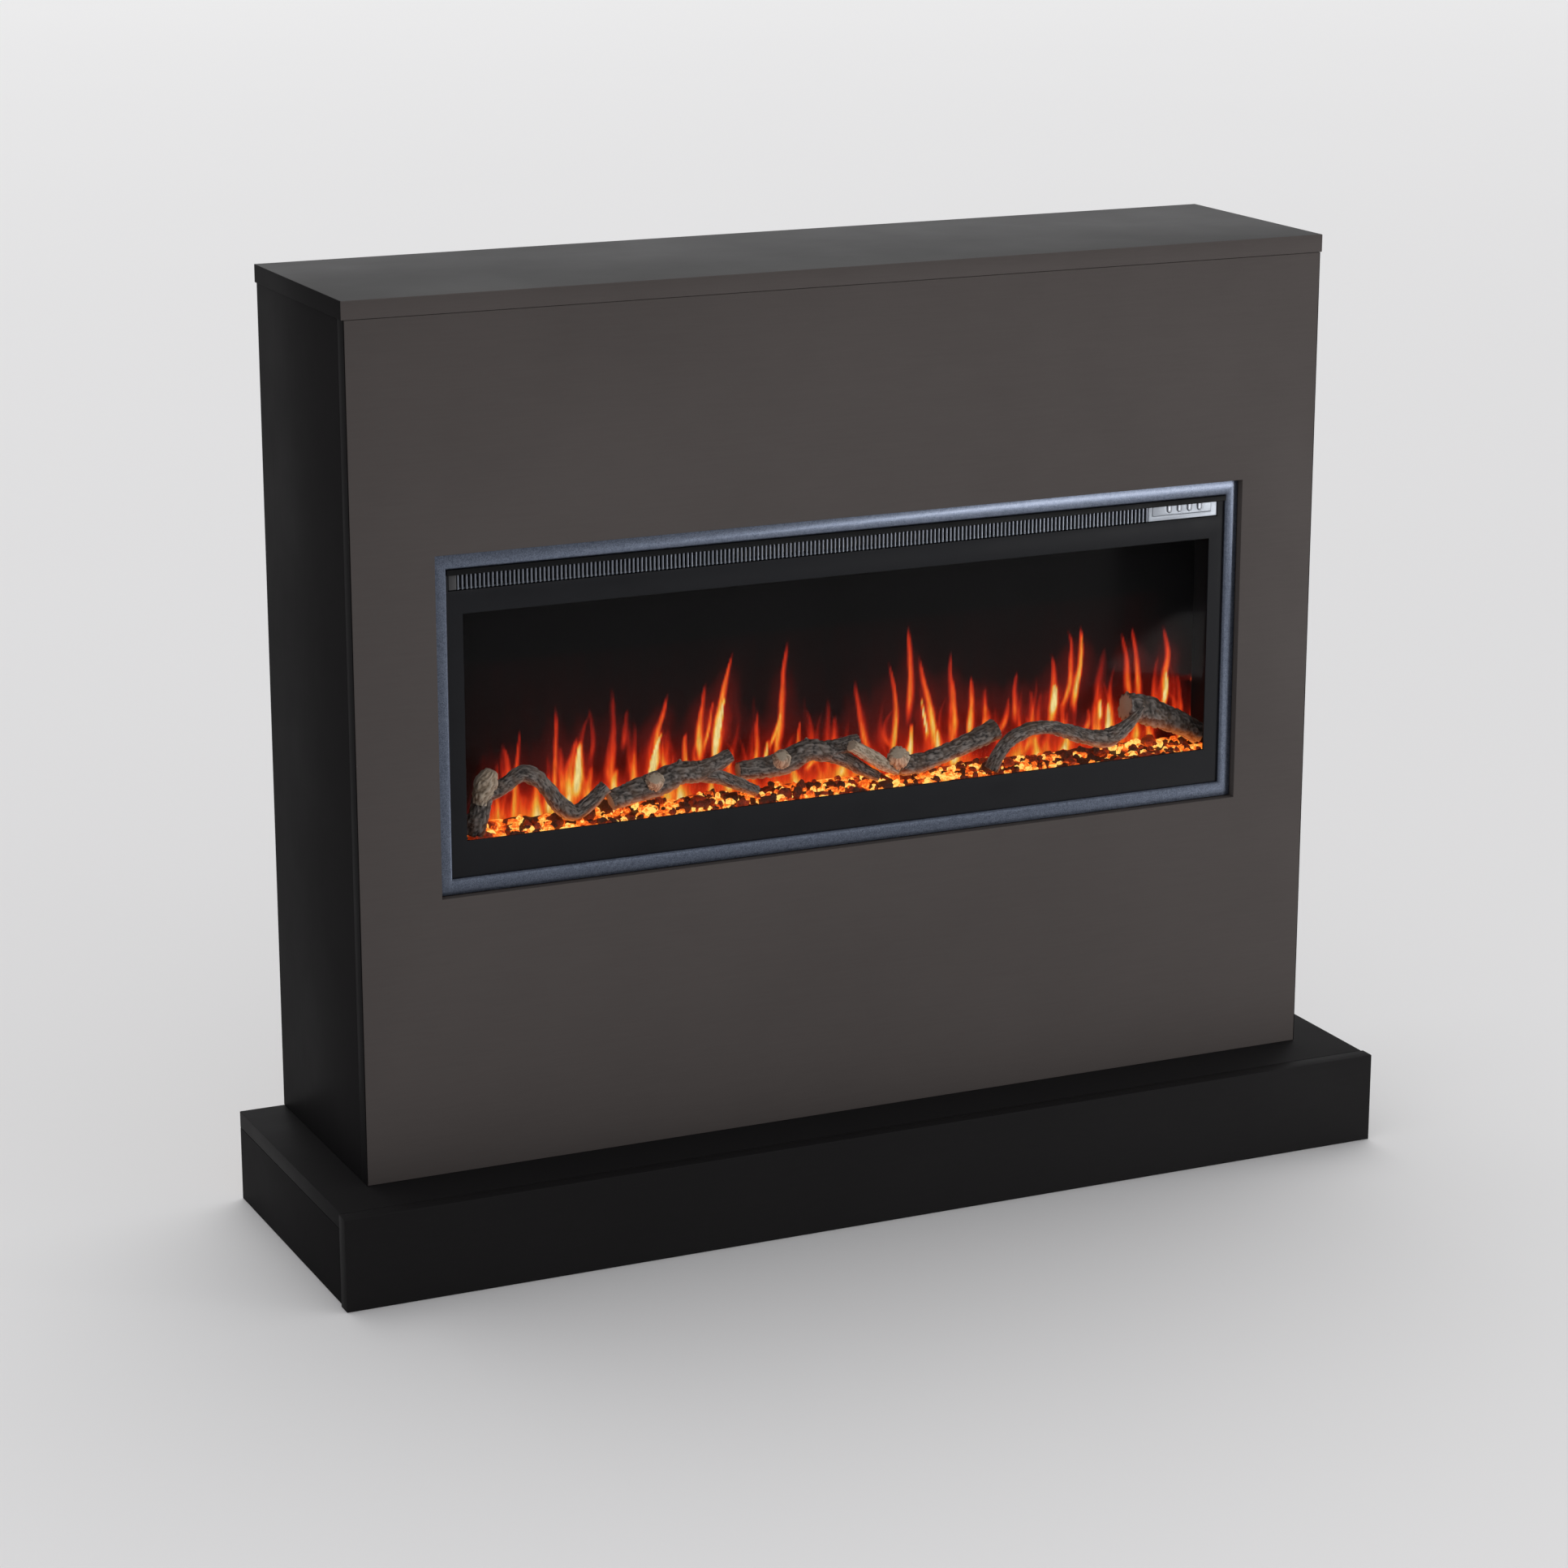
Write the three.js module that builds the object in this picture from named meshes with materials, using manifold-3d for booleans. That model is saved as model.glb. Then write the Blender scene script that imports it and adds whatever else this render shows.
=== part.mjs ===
// Free-standing electric fireplace: a laminated board mantel on a wide plinth, with a recessed heater
// insert that shows logs, a glowing ember bed and projected flames behind glass.
// Millimetres, +Z up, front facing -Y. The origin is on the floor, in the middle of the footprint.

import * as THREE from 'three';
import { mergeVertices } from 'three/addons/utils/BufferGeometryUtils.js';
import Module from 'manifold-3d';

const wasm = await Module();
wasm.setup();

// ---------------------------------------------------------------- driving sizes

// Plinth, the wide base that the mantel stands on
const plinthWidth = 1200;
const plinthDepth = 350;
const plinthHeight = 99;
const plinthInset = 2.5;          // sides stand in from the ends of the front board
const plinthRailClearance = 11;   // gap between the floor and the rear rail

// Mantel, the board carcass around the insert
const mantelWidth = 1096;
const mantelDepth = 270;
const mantelHeight = 886;         // from the plinth to the underside of the top board
const topOverhang = 2;
const topThickness = 19;
const bandThickness = 1.5;
const boardThickness = 18;
const railHeight = 80;
const cleatSection = 18;
const shelfRearGap = 30;
const seam = 0.25;                // a closed joint between two boards or plates
const overcut = 1;                // how far a cutting shape runs past what it cuts

// Corner braces, folded steel angles that tie the front panel to the sides
const braceLeg = 30;
const braceHeight = 60;
const braceThickness = 2;
const braceInset = 60;            // from the carcass's top and bottom

// Opening in the front panel, and the insert that fills it
const openingWidth = 920;
const openingHeight = 353;
const openingCentreZ = 569;
const openingClearance = 1;       // all round the trim frame
const casingClearance = 2;        // all round the casing

// Trim frame
const trimRecess = 8;             // from the panel's face to the frame's face
const trimThickness = 4;
const trimSide = 14;
const trimRail = 16;

// Bezel, the black plate between the trim frame and the glass
const bezelThickness = 2;
const bezelLap = 12;              // hidden behind the trim frame
const windowSide = 17.6;          // from the trim frame's inside edge to the window
const windowBottom = 37.5;
const windowTop = 46.5;
const glassThickness = 3;
const glassLap = 10;

// Warm air outlet row, above the window
const outletRise = 24.6;          // from the window's top edge to the foot of the outlet
const outletHeight = 20.4;
const outletLeft = 3.25;          // from the trim frame's inside edge
const outletRight = 9;
const outletSetback = 0.5;        // behind the bezel's face
const outletGap = 0.6;            // round the pieces that sit in the row
const endBlockWidth = 8.5;
const finPitch = 4.6;
const finWidth = 1.8;
const finDepth = 4;
const finFoot = 1.5;
const footInset = 0.3;            // foot bar inside the fins' faces
const hoodHeight = 5.75;
const hoodThickness = 2;

// Control panel and its buttons
const controlWidth = 83.75;
const controlThickness = 3;
const buttonNames = ['button_power', 'button_flame', 'button_heat', 'button_timer'];
const buttonWidth = 5.8;
const buttonHeight = 11.6;
const buttonPitch = 12.35;
const buttonSide = 21;            // from the control panel's right end to the last button
const buttonRise = 8;             // from the panel's foot to the buttons' lower ends
const buttonProud = 2;
const buttonLength = 8;
const buttonClearance = 0.3;
const buttonTravel = 1.5;
const boardBehind = 0.75;         // left between a pressed button and the control board
const controlBoardInset = 4;      // from the control panel's ends
const controlBoardHeight = 34;
const controlBoardThickness = 1.6;

// Casing of folded sheet steel
const casingDepth = 177.5;
const sheet = 1.5;
const baffleRise = 16;            // from the window's top edge to the baffle
const baffleGap = 1;              // behind the glass
const serviceWidth = 200;
const serviceHeight = 90;
const serviceLap = 20;
const slotCount = 12;
const slotWidth = 5;
const slotHeight = 24;
const slotPitch = 16;
const inletSide = 56;             // from the casing's inside wall to the mains inlet
const inletNeck = 7;
const inletFlange = 11;
const inletBore = 4;
const inletClearance = 0.3;
const inletFlangeThickness = 6;
const inletReach = 8;             // inside the casing's back
const inletSides = 24;
const inletBoreSides = 16;

// Fan heater above the baffle
const wheelRadius = 15;
const wheelLength = 237;
const wheelBlades = 14;
const wheelDepthPlace = 110;      // from the panel's face to the wheel's axis
const wheelEndGap = 1.5;
const discThickness = 1.5;
const discSides = 28;
const scrollGap = 3.5;
const scrollSheet = 1;
const scrollMouth = 20;           // from the wheel to the housing's front edge
const scrollEnd = 50;             // degrees above the axis where the housing's arc ends
const bladeWidth = 4;
const bladeThickness = 0.8;
const bladeInset = 0.4;           // inside the discs' rims
const shaftRadius = 3;
const shaftPast = 2;              // beyond the left end plate
const shaftShort = 10;            // of the motor's outer face
const boreClearance = 0.08;
const boreSides = 64;
const motorGap = 2;
const motorRadius = 17;
const motorLength = 36;
const heaterDepthPlace = 62;
const heaterDepth = 12;
const heaterWidth = 224;
const heaterBorder = 8;
const ribbonPitch = 8;
const ribbonThickness = 1.2;
const ribbonWidth = 4;
const ribbonSideGap = 1;
const ribbonEndGap = 0.5;
const cutoutRadius = 3.5;
const cutoutHeight = 5;
const cutoutSides = 20;
const loomRadius = 2.5;
const loomSteps = 24;

// Flame effect: screen, turning rod of foil flags, and lamps
const screenPlace = 90;           // from the panel's face
const screenThickness = 3;
const screenDrop = 22;            // below the window's lower edge
const rotorPlace = 120;
const rotorDrop = 7;              // axis below the window's lower edge
const rotorRadius = 12;
const rotorShaft = 2;
const flagCount = 18;
const flagWidth = 30;
const flagThickness = 0.6;
const flagTurn = 100;             // degrees from one flag to the next
const rotorMotorRadius = 20;
const rotorMotorLength = 22;
const rotorEndGap = 20;           // from the casing's wall to the motor and the bush
const bushThickness = 8;
const rotorShaftInMotor = 8;
const rotorShaftShort = 2;        // of the bush's outer face
const rotorFootThickness = 4;
const lampBoardWidth = 16;
const lampBoardThickness = 1.5;
const lampCount = 16;
const lampSize = 5;
const lampHeight = 1.2;
const lampSink = 0.5;             // set into the board
const lampBoardEndGap = 10;       // from the motor's inner face to the boards

// Ember bed and logs
const bedFront = 4;               // from the glass
const bedBack = 3;                // from the flame screen
const bedSkin = 3;
const bedLipDepth = 6;            // slope along the tray's front edge
const bedLipDrop = 4;
const bedLipSkin = [1, 2];        // extra depth and drop of the slope's underside
const bedSink = 11;               // bed under the window's lower edge, at the logs
const bedSlope = 0.18;            // rise for each millimetre of depth
const bedGap = 0.5;
const drawnWindowWidth = 854.8;   // window width for which the logs' points are given

// ---------------------------------------------------------------- sizes that follow

const rearY = plinthDepth / 2;
const mantelFrontY = rearY - mantelDepth;
const panelBackY = mantelFrontY + boardThickness;
const casingHalf = openingWidth / 2 - casingClearance;
const casingTop = openingHeight / 2 - casingClearance;
const trimHalf = openingWidth / 2 - openingClearance;
const trimTop = openingHeight / 2 - openingClearance;
const sightHalf = trimHalf - trimSide;
const sightTop = trimTop - trimRail;
const bezelY = trimRecess + trimThickness + seam;
const glassY = bezelY + bezelThickness + seam;
const casingBackY = glassY + casingDepth;
const windowHalf = sightHalf - windowSide;
const windowLow = -sightTop + windowBottom;
const windowHigh = sightTop - windowTop;
const outletLow = windowHigh + outletRise;
const outletHigh = outletLow + outletHeight;
const outletY = bezelY + outletSetback;
const outletX = [-sightHalf + outletLeft, sightHalf - outletRight];
const baffleZ = windowHigh + baffleRise;
const ductLow = baffleZ + sheet;
const ductHigh = casingTop - sheet;
const ductMiddle = (ductLow + ductHigh) / 2;
const innerHalf = casingHalf - sheet;
const innerFloor = -casingTop + sheet;
const inletX = innerHalf - inletSide;
const rotorZ = windowLow - rotorDrop;
const bedZ = windowLow - bedSink;

// ---------------------------------------------------------------- finishes

const finishes = {
  graphiteLaminate: [0x2b2c2e, 0.55, 0],
  taupeLaminate: [0x484342, 0.6, 0],
  rawBoard: [0x8a7458, 0.85, 0],
  zincSteel: [0x9aa0a4, 0.45, 0.9],
  blackSteel: [0x17181a, 0.6, 0.3],
  silverFlake: [0x7f879c, 0.4, 0.7],
  blackBezel: [0x1d1f23, 0.35, 0.1],
  darkGlass: [0x222426, 0.08, 0],
  silverPlastic: [0xa9afb8, 0.35, 0.5],
  buttonPlastic: [0x8f96a0, 0.3, 0.4],
  blackPlastic: [0x1a1a1c, 0.6, 0],
  circuitBoard: [0x1f4a30, 0.5, 0],
  heatCore: [0x6e4f3a, 0.6, 0.4],
  mica: [0xb8a98a, 0.7, 0],
  flamePanel: [0x1c0f0a, 0.4, 0],
  emberResin: [0x7a2c10, 0.7, 0],
  bark: [0x584c44, 0.85, 0],
};

function finish(key) {
  const [color, roughness, metalness] = finishes[key];
  return new THREE.MeshStandardMaterial({ color, roughness, metalness });
}

// ---------------------------------------------------------------- shape helpers

const axisX = new THREE.Vector3(1, 0, 0);
const axisY = new THREE.Vector3(0, 1, 0);
const axisZ = new THREE.Vector3(0, 0, 1);

// A span of a given width about a centre, as [low, high].
function about(width, centre = 0) {
  return [centre - width / 2, centre + width / 2];
}

// A block between spans along X, Y and Z.
function block(x, y, z) {
  const geometry = new THREE.BoxGeometry(x[1] - x[0], y[1] - y[0], z[1] - z[0]);
  return geometry.translate((x[0] + x[1]) / 2, (y[0] + y[1]) / 2, (z[0] + z[1]) / 2);
}

function solidOf(geometry) {
  const bare = geometry.clone();
  bare.deleteAttribute('normal');
  bare.deleteAttribute('uv');
  const merged = mergeVertices(bare);
  return new wasm.Manifold(new wasm.Mesh({
    numProp: 3,
    vertProperties: new Float32Array(merged.attributes.position.array),
    triVerts: new Uint32Array(merged.index.array),
  }));
}

function geometryOf(solid) {
  const mesh = solid.getMesh();
  const geometry = new THREE.BufferGeometry();
  geometry.setAttribute('position', new THREE.BufferAttribute(mesh.vertProperties, 3));
  geometry.setIndex(new THREE.BufferAttribute(mesh.triVerts, 1));
  geometry.computeVertexNormals();
  return geometry;
}

function join(...pieces) {
  return geometryOf(pieces.map(solidOf).reduce((whole, piece) => whole.add(piece)));
}

function cut(geometry, ...tools) {
  return geometryOf(tools.map(solidOf).reduce((whole, tool) => whole.subtract(tool), solidOf(geometry)));
}

// A rod along X or Y, centred on a point of the plane across it.
function rodX(radius, x, y, z, sides = 32) {
  const rod = new THREE.CylinderGeometry(radius, radius, x[1] - x[0], sides).rotateZ(-Math.PI / 2);
  return rod.translate((x[0] + x[1]) / 2, y, z);
}

function rodY(radius, y, x, z, sides = 32) {
  const rod = new THREE.CylinderGeometry(radius, radius, y[1] - y[0], sides);
  return rod.translate(x, (y[0] + y[1]) / 2, z);
}

// An outline in depth and height, carried along X.
function prismX(shape, x) {
  const geometry = new THREE.ExtrudeGeometry(shape, { depth: x[1] - x[0], bevelEnabled: false });
  const turn = new THREE.Matrix4().makeBasis(axisY, axisZ, axisX);
  return geometry.applyMatrix4(turn).translate(x[0], 0, 0);
}

// An outline in width and height, carried along Y.
function prismY(shape, y) {
  const geometry = new THREE.ExtrudeGeometry(shape, { depth: y[1] - y[0], bevelEnabled: false });
  const turn = new THREE.Matrix4().makeBasis(axisX, axisZ, axisY.clone().negate());
  return geometry.applyMatrix4(turn).translate(0, y[1], 0);
}

function outline(points) {
  return new THREE.Shape(points.map(([u, v]) => new THREE.Vector2(u, v)));
}

// An upright slot or button outline: straight sides and round ends.
function capsule(width, height, x, low) {
  const r = width / 2;
  const shape = new THREE.Shape();
  shape.absarc(x, low + r, r, Math.PI, 2 * Math.PI, false);
  shape.absarc(x, low + height - r, r, 0, Math.PI, false);
  return shape;
}

// A round bar along a smooth curve through points.
function bar(points, radius, steps, sides = 8) {
  const section = new THREE.Shape();
  for (let i = 0; i < sides; i++) {
    const angle = (2 * Math.PI * i) / sides;
    const move = i ? 'lineTo' : 'moveTo';
    section[move](radius * Math.cos(angle), radius * Math.sin(angle));
  }
  const path = new THREE.CatmullRomCurve3(points.map((p) => new THREE.Vector3(...p)));
  return new THREE.ExtrudeGeometry(section, { steps, extrudePath: path });
}

function add(group, name, geometry, key) {
  const mesh = new THREE.Mesh(geometry, finish(key));
  mesh.name = name;
  group.add(mesh);
  return mesh;
}

// ---------------------------------------------------------------- plinth

function makePlinth() {
  const plinth = new THREE.Group();
  const half = plinthWidth / 2 - plinthInset;
  const inner = half - boardThickness;
  const frontBack = -rearY + boardThickness;
  const depth = [frontBack + seam, rearY];
  const underTop = plinthHeight - boardThickness - seam;
  const railY = [rearY - boardThickness, rearY];
  const railZ = [plinthRailClearance, underTop];

  const front = block(about(plinthWidth), [-rearY, frontBack], [0, plinthHeight]);
  add(plinth, 'plinth_front_board', front, 'graphiteLaminate');
  const top = block(about(2 * half), depth, [plinthHeight - boardThickness, plinthHeight]);
  add(plinth, 'plinth_top_board', top, 'graphiteLaminate');
  for (const [name, side] of [['plinth_left_board', -1], ['plinth_right_board', 1]]) {
    const x = about(boardThickness, side * (half - boardThickness / 2));
    add(plinth, name, block(x, depth, [0, underTop]), 'graphiteLaminate');
  }
  const rail = block(about(2 * (inner - seam)), railY, railZ);
  add(plinth, 'plinth_rear_rail', rail, 'rawBoard');
  const web = block(about(boardThickness), [frontBack + seam, railY[0] - seam], [0, underTop]);
  add(plinth, 'plinth_middle_web', web, 'rawBoard');
  return plinth;
}

// ---------------------------------------------------------------- mantel

function makeMantel() {
  const mantel = new THREE.Group();
  const low = plinthHeight + seam;
  const high = plinthHeight + mantelHeight;
  const half = mantelWidth / 2;
  const inner = half - boardThickness;
  const sideY = [panelBackY + seam, rearY];
  const railY = [rearY - boardThickness, rearY];
  const bandY = mantelFrontY + bandThickness;
  const topX = about(mantelWidth + 2 * topOverhang);
  const topZ = [high + seam, high + topThickness];

  add(mantel, 'top_board', block(topX, [bandY + seam, rearY], topZ), 'graphiteLaminate');
  add(mantel, 'top_edge_band', block(topX, [mantelFrontY, bandY], topZ), 'taupeLaminate');

  const panel = block(about(mantelWidth), [mantelFrontY, panelBackY], [low, high]);
  const opening = block(about(openingWidth), [mantelFrontY - overcut, panelBackY + overcut],
    about(openingHeight, openingCentreZ));
  add(mantel, 'front_panel', cut(panel, opening), 'taupeLaminate');

  for (const [name, side] of [['left_side_panel', -1], ['right_side_panel', 1]]) {
    const x = about(boardThickness, side * (half - boardThickness / 2));
    add(mantel, name, block(x, sideY, [low, high]), 'graphiteLaminate');
  }

  const railX = about(2 * (inner - seam));
  add(mantel, 'rear_top_rail', block(railX, railY, [high - seam - railHeight, high - seam]), 'rawBoard');
  add(mantel, 'rear_bottom_rail', block(railX, railY, [low, low + railHeight]), 'rawBoard');

  const shelfTop = openingCentreZ - openingHeight / 2;
  const shelfZ = [shelfTop - boardThickness, shelfTop];
  const shelfY = [panelBackY + seam, rearY - shelfRearGap];
  add(mantel, 'insert_shelf', block(railX, shelfY, shelfZ), 'rawBoard');
  for (const [name, side] of [['left_shelf_cleat', -1], ['right_shelf_cleat', 1]]) {
    const x = about(cleatSection, side * (inner - seam - cleatSection / 2));
    const z = [shelfZ[0] - seam - cleatSection, shelfZ[0] - seam];
    add(mantel, name, block(x, shelfY, z), 'rawBoard');
  }

  const braces = [
    ['brace_low_left', -1, low + braceInset],
    ['brace_low_right', 1, low + braceInset],
    ['brace_high_left', -1, high - braceInset - braceHeight],
    ['brace_high_right', 1, high - braceInset - braceHeight],
  ];
  for (const [name, side, z] of braces) {
    const foot = about(braceLeg, side * (inner - seam - braceLeg / 2));
    const wall = about(braceThickness, side * (inner - seam - braceThickness / 2));
    const depth = panelBackY + seam;
    const rise = [z, z + braceHeight];
    const angle = join(
      block(foot, [depth, depth + braceThickness], rise),
      block(wall, [depth, depth + braceLeg], rise));
    add(mantel, name, angle, 'zincSteel');
  }
  return mantel;
}

// ---------------------------------------------------------------- insert front

// From here on, Y is the depth behind the front panel's face and Z is measured from the opening's centre.

function outletEdges() {
  const fixedLeft = outletX[0] + endBlockWidth;
  const panelLeft = outletX[1] - controlWidth;
  return { fixedLeft, panelLeft };
}

// A comb: upright fins, and a thinner foot bar that runs through their lower ends.
function finComb(left, right, low, high) {
  const count = Math.floor((right - left - finWidth) / finPitch) + 1;
  const start = left + (right - left - (count - 1) * finPitch) / 2;
  const footY = [outletY + footInset, outletY + finDepth - footInset];
  const parts = [block([left, right], footY, [low + footInset, low + finFoot])];
  for (let i = 0; i < count; i++) {
    parts.push(block(about(finWidth, start + i * finPitch), [outletY, outletY + finDepth], [low, high]));
  }
  return join(...parts);
}

function makeInsertFront() {
  const front = new THREE.Group();
  const { fixedLeft, panelLeft } = outletEdges();

  const trimY = [trimRecess, trimRecess + trimThickness];
  const sight = block(about(2 * sightHalf), [0, bezelY + bezelThickness], about(2 * sightTop));
  const trim = cut(block(about(2 * trimHalf), trimY, about(2 * trimTop)), sight);
  add(front, 'trim_frame', trim, 'silverFlake');

  const plateX = about(2 * (sightHalf + bezelLap));
  const plateZ = about(2 * (sightTop + bezelLap));
  const plateY = [bezelY, bezelY + bezelThickness];
  const through = [bezelY - overcut, bezelY + bezelThickness + overcut];
  const window = block(about(2 * windowHalf), through, [windowLow, windowHigh]);
  const rowX = [outletX[0] - outletGap, outletX[1] + outletGap];
  const row = block(rowX, through, [outletLow - outletGap, outletHigh + outletGap]);
  add(front, 'bezel', cut(block(plateX, plateY, plateZ), window, row), 'blackBezel');

  const hoodX = about(2 * (sightHalf - seam));
  const hoodZ = [sightTop - seam - hoodHeight, sightTop - seam];
  const hoodY = [trimRecess + seam, trimRecess + seam + hoodThickness];
  add(front, 'outlet_hood', block(hoodX, hoodY, hoodZ), 'blackBezel');

  const glassZ = [windowLow - glassLap, windowHigh + glassLap];
  const glass = block(about(2 * (windowHalf + glassLap)), [glassY, glassY + glassThickness], glassZ);
  add(front, 'window_glass', glass, 'darkGlass');

  const finY = [outletY, outletY + finDepth];
  const rowZ = [outletLow, outletHigh];
  const comb = finComb(fixedLeft + seam, panelLeft - seam, ...rowZ);
  add(front, 'outlet_grille', comb, 'silverPlastic');
  add(front, 'grille_end_block', block([outletX[0], fixedLeft], finY, rowZ), 'blackPlastic');
  return front;
}

function makeControls() {
  const controls = new THREE.Group();
  const { panelLeft } = outletEdges();
  const last = outletX[1] - buttonSide;
  const low = outletLow + buttonRise;
  const panelY = [outletY, outletY + controlThickness];
  const buttonY = [outletY - buttonProud, outletY - buttonProud + buttonLength];

  const holes = buttonNames.map((name, i) => {
    const x = last - (buttonNames.length - 1 - i) * buttonPitch;
    const hole = capsule(buttonWidth + 2 * buttonClearance, buttonHeight + 2 * buttonClearance,
      x, low - buttonClearance);
    add(controls, name, prismY(capsule(buttonWidth, buttonHeight, x, low), buttonY), 'buttonPlastic');
    return prismY(hole, [panelY[0] - overcut, panelY[1] + overcut]);
  });
  const panel = block([panelLeft, outletX[1]], panelY, [outletLow, outletHigh]);
  add(controls, 'control_panel', cut(panel, ...holes), 'silverPlastic');

  const boardY = buttonY[1] + buttonTravel + boardBehind;
  const boardX = [panelLeft + controlBoardInset, outletX[1] - controlBoardInset];
  const boardZ = about(controlBoardHeight, ductMiddle);
  const board = block(boardX, [boardY, boardY + controlBoardThickness], boardZ);
  add(controls, 'control_board', board, 'circuitBoard');
  return controls;
}

// ---------------------------------------------------------------- casing

function makeCasing() {
  const casing = new THREE.Group();
  const depth = [glassY, casingBackY];
  const shell = block(about(2 * casingHalf), depth, about(2 * casingTop));
  const hollow = block(about(2 * innerHalf), [glassY - overcut, casingBackY - sheet],
    [innerFloor, casingTop - sheet]);
  const through = [casingBackY - sheet - overcut, casingBackY + overcut];
  const hatchZ = about(serviceHeight, -serviceHeight / 2);
  const cuts = [hollow, block(about(serviceWidth), through, hatchZ)];
  for (let i = 0; i < slotCount; i++) {
    const x = (i - (slotCount - 1) / 2) * slotPitch;
    cuts.push(block(about(slotWidth, x), through, about(slotHeight, ductMiddle)));
  }
  cuts.push(rodY(inletNeck + inletClearance, through, inletX, ductMiddle, inletSides));
  add(casing, 'firebox_casing', cut(shell, ...cuts), 'blackSteel');

  const coverY = [casingBackY + seam, casingBackY + seam + sheet];
  const coverZ = about(serviceHeight + 2 * serviceLap, -serviceHeight / 2);
  const cover = block(about(serviceWidth + 2 * serviceLap), coverY, coverZ);
  add(casing, 'rear_service_cover', cover, 'blackSteel');

  const baffleY = [glassY + glassThickness + baffleGap, casingBackY - sheet - seam];
  const baffle = block(about(2 * (innerHalf - seam)), baffleY, [baffleZ, baffleZ + sheet]);
  add(casing, 'heat_baffle', baffle, 'blackSteel');

  for (const [name, side] of [['left_fixing_bracket', -1], ['right_fixing_bracket', 1]]) {
    const outer = casingHalf + seam;
    const legX = about(sheet, side * (outer + sheet / 2));
    const footX = about(braceLeg, side * (outer + braceLeg / 2));
    const rise = about(braceHeight, 0);
    const back = boardThickness + seam;
    const angle = join(
      block(footX, [back, back + sheet], rise),
      block(legX, [back, back + braceLeg], rise));
    add(casing, name, angle, 'zincSteel');
  }

  add(casing, 'mains_inlet', inletGland(), 'blackPlastic');
  return casing;
}

// The mains inlet gland goes through the casing's back at the right end of the duct.
function inletGland() {
  const backFace = casingBackY + seam;
  const inFace = casingBackY - sheet - inletReach;
  const outFace = backFace + inletFlangeThickness;
  const rim = rodY(inletFlange, [backFace, outFace], inletX, ductMiddle, inletSides);
  const throat = rodY(inletNeck, [inFace, backFace + overcut], inletX, ductMiddle, inletSides);
  const way = rodY(inletBore, [inFace - overcut, outFace + overcut], inletX, ductMiddle, inletBoreSides);
  return cut(join(rim, throat), way);
}

// ---------------------------------------------------------------- fan heater

// The loom runs from the mains inlet forward, under the motor's end, to the control board.
const loomPoints = [
  [inletX, casingBackY - sheet - 10, ductMiddle],
  [inletX, casingBackY - 50, ductMiddle - 4],
  [inletX - 4, 90, ductMiddle - 8],
  [inletX - 4, 50, ductMiddle - 2],
  [inletX - 4, 24.5, ductMiddle],
];

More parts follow.
